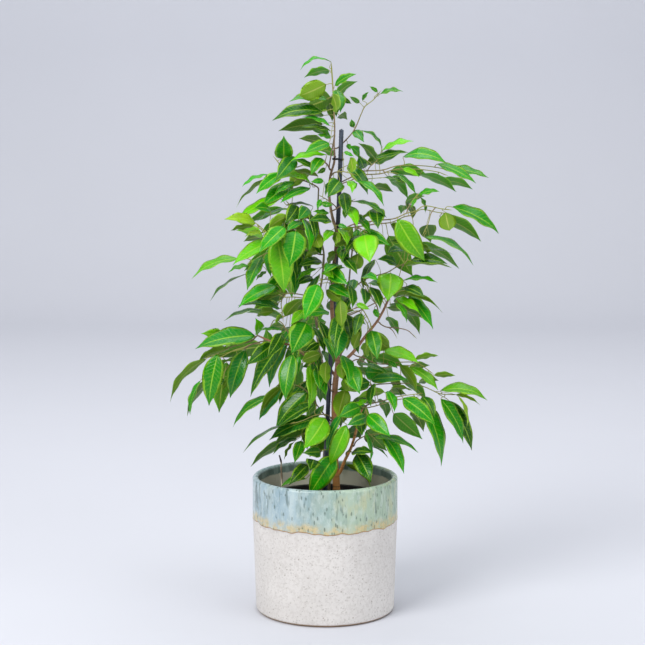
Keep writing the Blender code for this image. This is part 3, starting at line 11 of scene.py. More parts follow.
import bmesh
import bpy
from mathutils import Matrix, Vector, noise
from mathutils.bvhtree import BVHTree
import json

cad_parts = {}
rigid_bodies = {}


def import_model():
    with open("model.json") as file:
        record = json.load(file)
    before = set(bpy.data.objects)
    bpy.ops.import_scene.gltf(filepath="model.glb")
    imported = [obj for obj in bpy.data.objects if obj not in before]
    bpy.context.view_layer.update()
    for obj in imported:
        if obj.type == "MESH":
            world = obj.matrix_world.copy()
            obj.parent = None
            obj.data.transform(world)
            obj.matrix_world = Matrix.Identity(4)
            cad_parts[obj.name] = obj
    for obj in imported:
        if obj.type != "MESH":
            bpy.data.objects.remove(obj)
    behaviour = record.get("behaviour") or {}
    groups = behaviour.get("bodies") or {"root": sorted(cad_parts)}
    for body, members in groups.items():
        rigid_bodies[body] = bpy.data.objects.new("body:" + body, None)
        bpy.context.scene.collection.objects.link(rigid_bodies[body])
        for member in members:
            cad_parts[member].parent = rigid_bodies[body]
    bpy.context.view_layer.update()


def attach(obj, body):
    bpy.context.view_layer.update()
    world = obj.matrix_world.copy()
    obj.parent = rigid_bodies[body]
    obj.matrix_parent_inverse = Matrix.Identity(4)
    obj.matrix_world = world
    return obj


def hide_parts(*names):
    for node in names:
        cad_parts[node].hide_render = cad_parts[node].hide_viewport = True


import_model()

# Driving dimensions, in metres.
GAP = 0.0003  # room left between pieces that touch

POT_RADIUS = 0.0825  # cover pot, outside of the glazed wall
POT_HEIGHT = 0.1545
POT_WALL = 0.007
POT_FLOOR = 0.009
POT_TAPER = 0.003  # how much narrower the foot is
FOOT_ROUND = 0.0045
GLAZE_DEPTH = 0.0485  # from the rim down to the edge of the glaze
GLAZE_THICKNESS = 0.0004

NURSERY_ROOM = 0.0085  # between the growing pot's rim and the cover pot's wall
NURSERY_DROP = 0.025  # the growing pot's rim below the cover pot's
NURSERY_WALL = 0.0012
NURSERY_TAPER = 0.016
NURSERY_LIP = 0.003
NURSERY_LIP_HEIGHT = 0.008

SOIL_DROP = 0.010  # soil surface below the growing pot's rim
SOIL_MOUND = 0.003

STAKE_RADIUS = 0.0025
TIE_RADIUS = 0.0006
CROWN_HEIGHT = 0.505  # top of the crown above the soil
CROWN_SPREAD = 0.372
STEM_GROWTH = 1.0  # thickness of the stems, as a share of a young tree's
TWIG_RADIUS = 0.0011
PETIOLE_RADIUS = 0.0006
BLADE_THICKNESS = 0.0007
LEAF_LENGTH = 0.052
DRY_RADIUS = 0.0017
TIE_LEVEL = 51.4  # of the layout below, in centimetres

NURSERY_RADIUS = POT_RADIUS - POT_WALL - NURSERY_ROOM
NURSERY_BOTTOM = POT_FLOOR + GAP
NURSERY_TOP = POT_HEIGHT - NURSERY_DROP
SOIL_TOP = NURSERY_TOP - SOIL_DROP

# ---------------------------------------------------------------- plant plan
# The plant is laid out on its front elevation, in centimetres: x across, z up, and y the depth
# behind the stake (negative comes forward). A point keeps its place on the elevation at any depth,
# as seen from EYE.
CM = 0.01
EYE = Vector((0.0, -1.774, 0.547))
LAID_SOIL = 0.1195  # height of the soil's surface in this layout
LAID_HEIGHT = 0.505  # and of the crown's top above it
LAID_SPREAD = 0.372
LOWER = 0.002

# Stems: points (x, z, y) and radius in centimetres.
STEMS = {
    "trunk": [(1.3, 10.2, 0.1, 0.46), (1.28, 14.5, 0.1, 0.42), (1.15, 17.0, 0.1, 0.37),
              (1.08, 20.0, 0.1, 0.34), (1.05, 24.0, 0.1, 0.33), (1.18, 26.5, 0.05, 0.33),
              (1.42, 28.2, 0.0, 0.3), (1.25, 29.8, -0.3, 0.24), (0.95, 32.0, -0.7, 0.22),
              (0.75, 35.0, -0.9, 0.21), (0.85, 38.5, -0.85, 0.2), (1.2, 41.6, -0.75, 0.18),
              (1.25, 43.3, -0.65, 0.17), (0.75, 45.2, -0.5, 0.15), (0.45, 47.4, -0.4, 0.14),
              (0.55, 49.4, -0.35, 0.13), (1.02, 51.2, -0.2, 0.12), (1.0, 52.6, -0.1, 0.11)],
    "bough_right": [(1.42, 28.0, 0.0, 0.2), (2.1, 28.7, -0.2, 0.19), (3.2, 29.8, -0.4, 0.18),
                    (4.56, 31.6, -0.6, 0.16), (5.8, 33.2, -0.7, 0.14), (6.5, 34.4, -0.8, 0.13),
                    (6.95, 35.4, -0.8, 0.12), (7.3, 36.1, -0.8, 0.11)],
    "bough_left": [(1.18, 27.0, 0.05, 0.17), (0.5, 27.8, 0.7, 0.16), (-0.8, 28.5, 0.8, 0.15),
                   (-2.3, 29.4, 0.5, 0.14), (-3.4, 30.4, 0.3, 0.13), (-4.6, 30.7, 0.0, 0.12),
                   (-6.1, 31.0, -0.1, 0.11), (-7.3, 31.5, -0.2, 0.1)],
    "bough_low": [(1.22, 15.4, 0.1, 0.2), (1.7, 16.0, -0.1, 0.19), (2.2, 17.2, -0.3, 0.18),
                  (3.05, 19.1, -0.4, 0.16), (3.5, 20.8, -0.5, 0.14), (3.8, 22.5, -0.5, 0.12),
                  (4.2, 23.2, -0.6, 0.11)],
    "stem_left": [(-0.45, 10.4, -0.3, 0.17), (-0.45, 15.0, -0.1, 0.16), (-0.1, 18.0, 0.8, 0.15),
                  (0.2, 21.0, 1.2, 0.14), (0.2, 25.0, 1.6, 0.13), (-0.3, 28.5, 2.1, 0.12),
                  (-0.9, 31.5, 1.9, 0.12), (-0.8, 35.0, 1.2, 0.11), (-0.3, 38.5, 0.5, 0.11),
                  (-0.15, 40.8, 0.1, 0.1), (-0.4, 42.2, 0.0, 0.1), (-0.85, 44.4, 0.0, 0.1),
                  (-0.8, 46.2, 0.1, 0.09), (-0.75, 47.8, 0.2, 0.08)],
    "stem_right": [(0.4, 10.4, 1.0, 0.16), (0.5, 15.0, 1.1, 0.15), (0.9, 18.0, 1.3, 0.14),
                   (1.0, 22.0, 1.5, 0.13), (1.2, 26.0, 1.6, 0.12), (1.7, 29.0, 1.7, 0.12),
                   (2.1, 32.0, 1.8, 0.11), (2.5, 35.0, 1.8, 0.1), (2.7, 38.0, 1.6, 0.1),
                   (3.0, 41.0, 1.3, 0.09), (3.35, 43.4, 1.1, 0.08), (3.2, 45.4, 1.0, 0.07)],
}
STAKE_PATH = [(-0.1, 5.5, 0.0), (-0.02, 13.0, 0.0), (0.36, 24.0, 0.0), (0.98, 35.5, 0.0),
              (1.5, 46.0, 0.0), (1.8, 54.6, 0.0)]
DRY_PATH = [(-4.7, 10.8, -1.2), (-4.9, 14.4, -1.2), (-4.98, 16.2, -1.3), (-5.0, 17.1, -1.3),
            (-5.2, 17.9, -1.4)]

# Shoots: (name, stem it grows from, twig points, side twigs, leaves). A leaf is its base and tip on
# the elevation, its breadth as seen, a tone (d dark, a deeper green that is partly painted shade for
# leaves in shadow; g green, l lime, y yellow-green, t blue-green, o olive, seen from below), and if
# needed how far it comes forward and how much it arches.
SHOOTS = [
    ("crown_tip", "trunk", [(1.0, 52.7, -0.1), (1.05, 54.5, 0.0), (1.0, 56.5, 0.0), (0.9, 58.5, 0.0),
                            (0.8, 60.4, 0.0), (0.7, 61.6, 0.0)], [], [
        (0.6, 62.1, -2.8, 61.2, 0.35, "g", 0, 0.2), (0.8, 59.2, 3.4, 60.8, 0.8, "g"),
        (0.1, 59.6, -3.0, 58.3, 2.0, "o"), (0.2, 58.0, -4.0, 57.8, 0.9, "g"),
        (-0.3, 56.6, -5.9, 55.7, 1.3, "d", 0, 0.12), (0.5, 55.1, -2.6, 56.1, 0.5, "g"),
        (0.6, 54.5, -2.8, 55.0, 0.5, "d"), (1.0, 53.8, -0.9, 54.1, 0.4, "g"),
        (0.4, 53.2, -2.3, 52.1, 1.2, "g"), (1.2, 59.0, 1.7, 56.6, 1.2, "g", -0.6),
        (2.0, 58.1, 2.9, 57.5, 0.5, "d"), (0.8, 58.5, 1.2, 56.4, 0.9, "o", 0.5)]),
    ("right_top", "trunk", [(1.0, 52.0, 0.0), (2.0, 53.2, 0.6), (3.2, 54.6, 0.9), (4.0, 56.4, 1.0),
                            (4.4, 57.2, 1.0), (5.3, 57.9, 1.0), (5.9, 58.6, 1.0)], [], [
        (3.8, 57.6, 2.7, 58.3, 0.5, "t"), (4.1, 57.9, 4.8, 58.8, 0.4, "t"),
        (6.0, 58.6, 8.6, 58.9, 0.5, "g"), (5.8, 58.8, 4.9, 59.4, 0.4, "g"),
        (3.3, 54.6, 4.3, 53.3, 1.0, "t", 0.5), (3.1, 54.9, 2.9, 55.8, 0.6, "t", 0.5),
        (2.4, 53.3, 2.8, 52.4, 0.5, "g")]),
    ("right_high", "trunk", [(0.48, 48.2, -0.4), (1.7, 48.8, 0.8), (3.1, 49.5, 0.6), (4.0, 50.0, 0.3),
                             (6.4, 50.2, -0.2), (8.0, 50.65, -0.5), (11.0, 50.65, -0.8),
                             (13.0, 50.35, -1.0), (13.7, 50.1, -1.0)],
     [[(4.7, 50.1, 0.2), (5.0, 50.6, 0.6), (6.0, 51.5, 0.8), (6.25, 52.4, 0.8)],
      [(6.4, 50.2, -0.2), (7.8, 49.85, -1.2)],
      [(3.2, 49.5, 0.6), (3.7, 49.2, -0.2), (6.3, 49.35, -0.9)]], [
        (6.3, 52.6, 3.9, 54.6, 0.4, "t", 0, 0.15), (6.3, 52.3, 9.8, 53.4, 0.6, "l"),
        (5.5, 51.5, 9.2, 52.2, 0.7, "d"), (8.7, 51.7, 13.5, 51.0, 1.2, "g", 0, 0.14),
        (12.2, 50.85, 16.8, 48.8, 0.9, "g"), (13.7, 50.4, 18.2, 49.4, 0.9, "g", -0.4),
        (8.5, 50.4, 10.5, 49.4, 0.6, "l"), (8.0, 49.8, 10.2, 47.5, 0.5, "g"),
        (6.3, 49.4, 9.0, 48.7, 0.3, "d"), (4.3, 50.4, 3.7, 51.8, 1.2, "t", 0.6)]),
    ("right_high_front", "trunk", [(0.6, 49.6, -0.35), (1.0, 49.9, -1.6), (2.1, 50.0, -2.4),
                                   (3.2, 49.7, -2.8)], [], [
        (3.4, 49.0, 6.6, 46.2, 0.8, "g", 0, 0.14), (2.8, 51.6, 3.1, 49.9, 0.9, "o", 0.4),
        (2.1, 52.2, 3.2, 51.7, 0.4, "g"), (2.7, 49.0, 3.0, 47.7, 1.0, "l"),
        (1.6, 49.0, 0.3, 47.2, 1.7, "d", -0.8), (1.0, 49.5, 0.0, 47.3, 0.4, "t")]),
    ("right_mid", "trunk", [(1.25, 43.3, -0.65), (3.0, 44.1, -1.4), (4.6, 44.4, -2.0),
                            (5.9, 44.6, -2.3), (7.7, 44.8, -2.6), (9.1, 45.4, -2.5),
                            (10.0, 45.6, -2.4), (11.0, 46.2, -2.3), (12.9, 45.9, -2.3),
                            (13.7, 45.8, -2.3)],
     [[(9.1, 45.4, -2.5), (9.6, 46.6, -2.2), (10.2, 47.4, -2.1)],
      [(12.3, 46.0, -2.3), (11.8, 45.4, -2.7), (11.5, 44.3, -3.0), (11.0, 43.2, -3.2)]], [
        (8.1, 44.7, 11.2, 40.0, 2.3, "l", -0.8), (14.2, 46.1, 19.5, 43.3, 1.2, "g"),
        (13.4, 45.5, 13.9, 43.4, 1.8, "o"), (10.4, 47.5, 12.7, 47.9, 0.6, "g"),
        (10.0, 47.1, 9.6, 46.0, 0.4, "g"), (10.6, 47.2, 11.2, 45.4, 0.4, "d"),
        (11.1, 42.75, 16.7, 39.7, 0.7, "g", 0, 0.13), (7.3, 44.2, 8.9, 42.2, 0.9, "o", 0.6)]),
    ("right_mid_up", "trunk", [(0.7, 45.6, -0.45), (1.9, 46.3, -1.5), (2.4, 46.5, -1.8),
                               (3.0, 46.8, -2.0)],
     [[(1.1, 45.8, -0.9), (0.2, 46.9, -1.8), (-0.5, 47.3, -2.4)]], [
        (-0.2, 49.0, -1.6, 48.9, 0.6, "g"), (-0.5, 47.1, -0.9, 45.9, 0.6, "g"),
        (-0.4, 46.5, 0.9, 46.3, 0.6, "g", -0.4),
        (3.1, 46.7, 6.9, 44.9, 0.5, "d", 0, 0.12), (2.7, 46.2, 3.6, 43.9, 1.2, "l", -0.5),
        (2.2, 46.3, 2.2, 44.8, 0.6, "d"), (0.4, 45.4, -1.4, 45.6, 0.5, "g"),
        (0.2, 46.3, 1.4, 45.9, 0.6, "l", -0.6)]),
    ("centre_right_high", "stem_right", [(3.35, 43.6, 1.1), (3.7, 43.8, -0.8), (4.2, 43.5, -2.2),
                                         (4.6, 43.3, -3.2)], [], [
        (3.8, 43.6, 7.3, 41.8, 1.4, "g"), (4.4, 43.0, 5.0, 39.9, 2.6, "l", -0.8),
        (4.0, 42.9, 2.3, 41.0, 1.0, "d"), (5.7, 45.5, 4.0, 44.7, 0.5, "o", 0.4)]),
    ("right_39", "stem_right", [(2.6, 37.0, 1.7), (4.5, 38.0, 0.6), (7.0, 38.8, -0.8),
                                (8.0, 39.4, -1.2), (9.0, 39.9, -1.6), (9.3, 40.8, -1.7),
                                (9.3, 41.5, -1.6)],
     [[(8.8, 39.8, -1.5), (8.5, 39.1, -1.8), (8.3, 38.4, -1.9)]], [
        (9.3, 40.15, 13.7, 39.8, 1.1, "d"), (8.8, 39.5, 14.2, 39.4, 0.6, "o"),
        (9.8, 41.6, 12.0, 41.2, 0.8, "o", 0.6), (10.0, 41.3, 14.4, 40.9, 0.25, "d"),
        (8.9, 41.9, 7.1, 42.3, 0.5, "d"), (8.6, 41.3, 7.0, 41.0, 0.9, "t", 1.2),
        (8.0, 39.7, 5.9, 40.3, 1.0, "d", 1.5), (7.3, 38.7, 7.0, 35.6, 2.7, "l", -1.2)]),
    ("right_36", "bough_right", [(7.3, 36.2, -0.8), (7.8, 36.7, -1.2), (8.8, 37.1, -1.5),
                                (10.1, 37.2, -1.8)],
     [], [
        (8.8, 37.9, 12.6, 37.75, 0.5, "g"), (8.8, 37.2, 11.2, 36.0, 1.0, "d", 0.5),
        (7.8, 36.3, 13.3, 34.4, 0.5, "o", 0, 0.1), (7.9, 35.9, 10.6, 34.3, 0.9, "l", -0.8),
        (9.4, 36.1, 12.2, 32.4, 1.3, "g", 0.4), (7.9, 35.3, 9.2, 33.1, 0.6, "g", 0, 0.16)]),
    ("right_35", "bough_right", [(6.3, 34.0, -0.8), (5.8, 35.0, -1.8), (5.0, 36.4, -2.2),
                                 (4.6, 37.4, -2.2)], [], [
        (4.9, 37.2, 6.2, 34.7, 1.0, "d"), (4.4, 36.9, 4.5, 35.1, 1.0, "t", 0.6),
        (5.1, 37.7, 6.3, 37.1, 0.8, "t", 0.8), (4.2, 38.3, 5.9, 37.9, 0.8, "g"),
        (4.0, 37.9, 5.2, 36.9, 0.9, "d", 0.5), (5.4, 34.8, 6.0, 33.6, 0.6, "g")]),
    ("right_bare", "bough_right", [(5.8, 33.2, -0.7), (6.3, 32.9, 0.5), (6.9, 32.6, 0.9),
                                   (8.1, 32.5, 1.2), (9.3, 32.2, 1.4), (10.0, 31.6, 1.5)],
     [[(7.2, 32.6, 1.0), (7.6, 32.2, 0.8), (7.9, 31.7, 0.8)]], []),
    ("centre_33", "trunk", [(0.85, 33.6, -0.8), (1.3, 33.9, -2.6), (1.9, 34.2, -4.2),
                            (3.0, 34.6, -4.8), (3.9, 34.8, -4.6),
                            (4.9, 33.4, -4.0), (5.2, 32.6, -3.8)], [], [
        (5.2, 32.2, 5.9, 28.9, 1.7, "g", -0.5), (4.8, 30.9, 4.7, 29.2, 0.9, "o", 0.8),
        (1.7, 33.1, 1.2, 29.0, 2.3, "t", -1.6), (2.3, 34.0, 2.9, 31.2, 1.4, "d", 0.6),
        (4.0, 34.2, 3.3, 31.6, 1.1, "d"), (1.9, 31.2, 1.6, 28.9, 0.6, "g"),
        (2.3, 31.3, 2.8, 30.3, 0.7, "o"), (3.3, 35.1, 5.0, 34.6, 0.6, "l"),
        (1.3, 34.3, 3.3, 34.5, 0.7, "o", 0.5)]),
    ("centre_left_33", "stem_left", [(-0.9, 33.0, 1.7), (-1.2, 34.2, -0.4), (-1.6, 34.4, -3.0),
                                     (-2.1, 34.0, -5.2)], [], [
        (-2.1, 33.1, -3.8, 29.6, 2.6, "g", -1.0), (-2.4, 34.5, -3.9, 32.9, 1.0, "l"),
        (0.4, 34.3, -2.9, 33.6, 1.1, "g"), (-0.6, 33.2, 0.4, 29.6, 1.0, "d", 0.5),
        (-1.4, 32.6, 0.0, 29.5, 0.8, "t", 0.5), (-0.1, 31.4, 0.9, 28.9, 0.8, "t", -0.5),
        (0.4, 33.7, 0.2, 31.2, 1.4, "d", 1.0)]),
    ("centre_37", "trunk", [(0.82, 37.6, -0.85), (0.4, 38.0, -2.8), (-0.6, 37.9, -4.8)], [], [
        (-0.8, 37.4, -2.4, 33.4, 2.0, "g", -1.0), (0.5, 37.3, 3.0, 35.9, 1.2, "g"),
        (2.2, 38.1, 0.6, 37.6, 0.8, "d"), (0.1, 36.8, 1.8, 35.6, 1.2, "o", 0.8),
        (2.8, 37.3, 3.1, 34.8, 0.9, "d", 0.8)]),
    ("centre_39", "stem_left", [(-0.22, 39.4, 0.3), (-0.3, 39.4, -1.8), (-0.4, 39.3, -3.4)], [], [
        (-0.5, 40.1, -3.0, 39.6, 1.0, "d"), (-1.0, 39.2, -3.2, 38.0, 0.5, "l", -0.6),
        (-1.5, 38.3, -3.2, 37.4, 1.0, "d", 0.6), (0.0, 39.3, 2.2, 39.3, 0.7, "d"),
        (-0.2, 38.9, 0.9, 38.2, 0.9, "l", -0.8), (1.2, 41.0, 0.2, 39.9, 0.8, "o", 0.6)]),
    ("centre_43", "trunk", [(1.25, 42.4, -0.7), (1.1, 43.6, -2.4), (1.0, 44.0, -3.6)],
     [[(1.2, 43.2, -1.6), (2.0, 42.0, -2.8), (3.0, 41.3, -3.8)]], [
        (2.1, 40.5, 3.6, 38.6, 1.1, "d"), (3.7, 40.9, 3.4, 39.0, 1.4, "o", 0.4),
        (2.4, 41.6, 1.9, 40.0, 0.8, "d", 0.8),
        (0.8, 43.6, -0.2, 42.2, 0.9, "l"), (1.0, 43.3, 1.3, 41.9, 0.9, "o", 0.4),
        (1.6, 43.7, 2.5, 41.9, 0.9, "l", -0.4), (1.2, 44.1, 2.5, 43.8, 0.5, "t"),
        (0.6, 44.6, -1.8, 44.6, 1.0, "d", 0.5)]),
    ("left_43", "stem_left", [(-0.35, 42.0, 0.0), (-1.6, 43.2, -2.4), (-3.2, 43.7, -4.2),
                              (-4.4, 43.4, -4.7), (-5.4, 43.2, -4.6), (-6.5, 43.3, -4.4),
                              (-7.5, 44.1, -4.2)], [], [
        (-3.3, 43.4, -4.0, 39.4, 2.5, "g", -1.0), (-5.4, 42.6, -4.6, 36.4, 2.5, "l", -1.2),
        (-7.8, 44.3, -11.2, 44.8, 1.1, "y"), (-8.0, 44.0, -10.6, 43.5, 0.6, "o", 0.5),
        (-6.7, 43.35, -9.0, 42.8, 0.5, "y"), (-4.1, 45.1, -6.4, 43.5, 1.1, "o", 1.0),
        (-2.6, 44.4, -4.3, 43.4, 0.9, "t", 0.6), (-5.9, 42.3, -10.4, 39.7, 1.4, "l", 0.6)]),
    ("left_41", "stem_left", [(-0.15, 40.8, 0.1), (-2.0, 41.2, -0.9), (-4.5, 41.4, -1.6),
                              (-6.6, 40.9, -2.0), (-8.4, 39.9, -2.2)], [], [
        (-9.7, 40.3, -15.0, 38.1, 0.8, "l", 0, 0.12), (-8.6, 39.55, -10.9, 38.8, 0.5, "g"),
        (-7.1, 40.6, -8.8, 36.8, 1.3, "g", -0.6), (-6.6, 38.9, -7.8, 37.9, 0.4, "d"),
        (-8.9, 38.6, -13.0, 35.7, 0.2, "d"), (-3.9, 40.6, -3.4, 36.2, 1.3, "t", -0.8),
        (-1.2, 42.3, -0.5, 40.8, 1.0, "d", 0.8)]),
    ("left_45", "stem_left", [(-0.85, 44.4, 0.0), (-2.2, 45.0, -1.2), (-3.4, 45.7, -1.8),
                              (-4.2, 46.6, -2.0)], [], [
        (-2.3, 44.7, -1.7, 41.2, 1.0, "g", -0.8), (-5.0, 47.0, -9.8, 44.9, 1.0, "l"),
        (-3.9, 45.9, -7.7, 44.6, 0.3, "t"), (-3.0, 44.6, -4.2, 43.6, 0.4, "d"),
        (-1.4, 46.2, -4.5, 46.2, 0.3, "d")]),
    ("left_48", "stem_left", [(-0.75, 47.6, 0.2), (-1.8, 48.8, -0.8), (-3.3, 49.3, -1.1),
                              (-4.6, 49.8, -1.2), (-6.2, 49.6, -1.0)], [], [
        (-6.4, 49.7, -9.3, 48.4, 0.4, "g"), (-4.4, 49.9, -7.7, 47.6, 1.2, "g"),
        (-6.4, 49.2, -10.1, 46.0, 0.4, "o", 0.5), (-1.3, 48.3, -5.5, 49.2, 0.6, "l", -0.4, 0.2),
        (-0.8, 49.5, -4.2, 50.1, 0.5, "o", 0.5), (-3.3, 48.9, -5.7, 47.5, 0.8, "g"),
        (-1.7, 48.2, -5.0, 46.6, 0.9, "g", 0.3)]),
    ("left_51", "trunk", [(0.9, 50.8, -0.3), (0.0, 51.0, -1.2), (-1.6, 51.0, -1.6),
                          (-3.2, 50.5, -1.5), (-4.5, 50.3, -1.3), (-5.5, 51.4, -1.2)], [], [
        (-4.6, 51.4, -4.6, 53.9, 1.9, "g"), (-0.4, 51.5, -1.6, 49.7, 1.2, "g", -0.5),
        (-1.4, 50.5, -3.5, 51.4, 0.6, "d", 0.4), (0.1, 51.9, -3.9, 51.3, 0.6, "l"),
        (0.2, 50.5, -0.9, 49.8, 0.5, "d")]),
    ("left_36", "stem_left", [(-0.7, 35.6, 1.1), (-2.0, 36.1, 0.2), (-3.6, 36.4, -0.6),
                              (-4.7, 36.4, -1.0), (-5.3, 36.7, -1.1)],
     [[(-4.6, 36.4, -1.0), (-4.95, 35.2, -1.5), (-4.85, 34.5, -1.6), (-4.75, 33.6, -1.7)]], [
        (-5.5, 37.3, -9.8, 34.9, 1.4, "g", -0.4), (-5.9, 36.1, -9.0, 35.4, 0.9, "o", 0.3),
        (-5.1, 34.7, -9.8, 35.1, 0.9, "t"), (-4.5, 33.8, -2.2, 35.9, 1.2, "o", -0.4),
        (-5.7, 34.35, -7.8, 33.9, 0.9, "o", 0.8), (-4.9, 34.1, -5.6, 32.8, 0.4, "o", 0.3),
        (-7.2, 34.6, -11.4, 33.4, 0.4, "d", 0.2)]),
    ("left_32", "bough_left", [(-3.5, 30.5, 0.3), (-3.9, 31.6, -0.6), (-4.5, 32.5, -0.9),
                               (-4.9, 33.1, -0.9), (-5.7, 33.4, -0.8), (-6.2, 32.6, -0.7)],
     [[(-3.7, 31.1, -0.3), (-4.9, 31.3, -1.6), (-5.6, 31.0, -2.4)]], [
        (-5.9, 30.7, -8.9, 28.3, 1.6, "d"), (-4.6, 31.1, -8.6, 24.7, 1.6, "d", 0.7),
        (-4.7, 32.45, -7.4, 32.2, 0.4, "t"), (-4.3, 32.2, -5.9, 31.1, 0.6, "g")]),
    ("left_30", "bough_left", [(-7.4, 31.5, -0.2), (-8.2, 31.1, -0.8), (-9.4, 30.7, -1.2),
                               (-10.7, 30.3, -1.4), (-11.9, 29.7, -1.5), (-13.2, 29.2, -1.5)],
     [], [
        (-7.9, 31.6, -14.7, 30.2, 1.9, "t", -0.8, 0.1), (-7.5, 31.9, -7.8, 33.6, 1.0, "l", 0.4),
        (-12.1, 29.5, -13.2, 23.6, 2.1, "g", -0.7), (-10.9, 30.1, -14.6, 28.5, 0.8, "o", 0.4),
        (-13.4, 29.0, -17.7, 24.2, 0.9, "o", 0, 0.1), (-11.2, 31.5, -13.9, 31.9, 1.2, "l", 0.6)]),
    ("left_29", "bough_left", [(-6.5, 31.15, -0.1), (-7.4, 30.9, 0.9), (-8.7, 30.4, 1.3),
                               (-10.7, 28.4, 1.4), (-12.0, 26.9, 1.3), (-13.7, 26.7, 1.2)],
     [], [
        (-9.0, 30.0, -10.8, 24.5, 1.9, "t", -0.9), (-10.9, 26.8, -11.7, 25.3, 0.6, "o"),
        (-12.0, 26.0, -12.4, 24.3, 0.25, "d"), (-11.5, 27.0, -11.9, 26.0, 0.5, "d"),
        (-14.1, 26.5, -15.4, 22.6, 0.6, "g")]),
    ("left_27", "trunk", [(1.08, 25.4, 0.1), (0.2, 26.6, -1.6), (-0.8, 28.0, -2.8),
                          (-1.7, 28.9, -3.6), (-2.8, 29.9, -4.2), (-3.7, 30.0, -4.3)], [], [
        (-3.7, 29.5, -4.6, 24.3, 1.8, "g", -0.5), (-2.9, 29.3, -3.1, 27.1, 0.7, "g", 0.5),
        (-1.9, 28.2, -1.8, 23.1, 1.2, "l", -0.6), (-0.9, 28.0, -0.6, 25.4, 1.2, "g"),
        (0.1, 27.2, 0.1, 24.8, 0.9, "g", -0.4), (-0.5, 29.6, -2.7, 28.7, 1.2, "o", 0.6)]),
    ("left_25", "trunk", [(1.06, 21.9, 0.1), (0.0, 22.5, 1.0), (-1.3, 24.2, 0.8), (-2.2, 25.4, 0.5),
                          (-3.6, 26.1, 0.1), (-4.8, 26.3, -0.2), (-5.9, 25.5, -0.4)], [], [
        (-2.1, 25.2, -5.7, 21.0, 1.9, "d", -0.8), (-2.5, 25.9, -4.1, 24.5, 0.6, "t", 0.3),
        (-4.9, 26.0, -7.4, 22.5, 0.8, "o"), (-6.1, 24.7, -10.5, 21.2, 0.8, "g", 0, 0.12)]),
    ("left_22", "trunk", [(1.08, 21.0, 0.1), (0.75, 22.1, -1.4), (0.1, 22.6, -2.2),
                          (-1.2, 22.5, -2.6), (-2.6, 21.9, -2.6), (-3.6, 21.6, -2.4)],
     [[(0.8, 21.9, -1.0), (1.6, 22.1, -2.0), (2.3, 22.0, -2.8)],
      [(0.9, 21.6, -0.7), (1.8, 23.2, -1.0), (2.6, 24.9, -1.2)]], [
        (2.4, 21.4, 0.5, 16.7, 1.8, "l", -0.7), (2.7, 24.7, 2.1, 21.6, 1.0, "o", 0.3),
        (0.0, 22.2, -2.4, 18.7, 2.4, "l", -1.0), (-1.2, 22.1, -6.4, 19.7, 1.6, "t", 0.3),
        (-3.9, 21.6, -9.4, 18.3, 0.25, "d")]),
    ("left_20", "stem_left", [(0.1, 19.8, 1.1), (-1.0, 20.5, 0.2), (-2.3, 20.5, -0.6),
                              (-3.1, 20.1, -0.9)], [], [
        (-3.1, 19.9, -6.0, 18.1, 0.6, "d"), (-2.7, 19.6, -3.5, 17.1, 1.2, "g", -0.5),
        (-3.6, 19.4, -4.7, 17.4, 0.3, "o"), (-0.8, 19.9, -2.0, 19.1, 0.8, "o", -0.3)]),
    ("low_front", "trunk", [(1.12, 18.2, 0.1), (1.1, 18.5, -1.6), (0.5, 18.6, -2.8),
                            (-0.3, 18.5, -3.2)],
     [[(0.9, 18.55, -2.0), (0.2, 17.6, -1.6), (-0.9, 17.2, -2.0), (-1.8, 17.0, -2.6)]], [
        (1.1, 17.9, -1.9, 13.2, 2.3, "g", -1.2), (-0.5, 18.3, -2.5, 18.2, 1.2, "d"),
        (-1.2, 17.4, -1.7, 16.2, 1.5, "d"), (-2.0, 16.8, -4.1, 14.5, 1.4, "d", 0.5),
        (-2.2, 15.2, -5.1, 14.3, 0.6, "g", -0.6, 0.12)]),
    ("low_right", "bough_low", [(3.05, 19.1, -0.4), (3.5, 19.5, -1.0), (4.4, 20.1, -1.4),
                                (5.0, 20.3, -1.6), (6.4, 20.4, -1.8)], [], [
        (5.2, 20.1, 10.6, 18.3, 0.7, "g", -0.3, 0.1), (6.6, 20.3, 9.0, 15.8, 1.4, "g"),
        (4.5, 20.6, 5.2, 17.1, 0.5, "g"), (5.4, 18.9, 7.2, 17.6, 0.2, "d", 0.4)]),
    ("low_right_front", "bough_low", [(2.5, 17.9, -0.3), (2.4, 18.2, -1.5), (2.8, 18.6, -2.6)], [], [
        (2.8, 18.3, 5.5, 18.2, 0.9, "d"), (3.6, 18.1, 5.2, 14.8, 1.9, "d", 0.7),
        (2.4, 16.8, 5.3, 14.2, 0.6, "o", 0, 0.14), (2.7, 15.7, 4.1, 13.9, 1.0, "l"),
        (2.2, 16.6, 3.6, 14.4, 1.5, "d", 3.2)]),
    ("right_24", "bough_low", [(4.3, 23.3, -0.6), (5.0, 23.8, -1.2), (6.6, 24.2, -1.6),
                               (8.4, 24.7, -1.9), (10.6, 25.0, -2.0)],
     [[(4.7, 23.6, -1.0), (4.6, 23.2, -2.4), (4.7, 22.9, -3.4)]], [
        (4.8, 22.6, 7.4, 20.1, 1.7, "g", -0.6), (4.6, 22.3, 2.5, 21.4, 1.3, "t"),
        (4.0, 21.8, 4.2, 20.3, 1.2, "d", 0.4),
        (8.8, 24.5, 12.5, 21.4, 1.7, "g", -0.8), (11.0, 24.7, 12.4, 22.2, 1.2, "d", 0.4),
        (11.2, 23.8, 13.3, 16.6, 1.6, "g", 0.6), (7.1, 25.3, 7.9, 23.0, 1.0, "g", -0.5),
        (6.7, 25.2, 3.6, 24.6, 0.9, "o", 0.5), (4.7, 24.3, 3.0, 23.4, 0.6, "l"),
        (7.5, 25.7, 9.9, 25.4, 0.4, "o", 0.4)]),
    ("right_26", "trunk", [(1.08, 25.2, 0.1), (3.4, 25.7, 0.6), (6.3, 26.1, 1.0), (8.9, 26.2, 0.8),
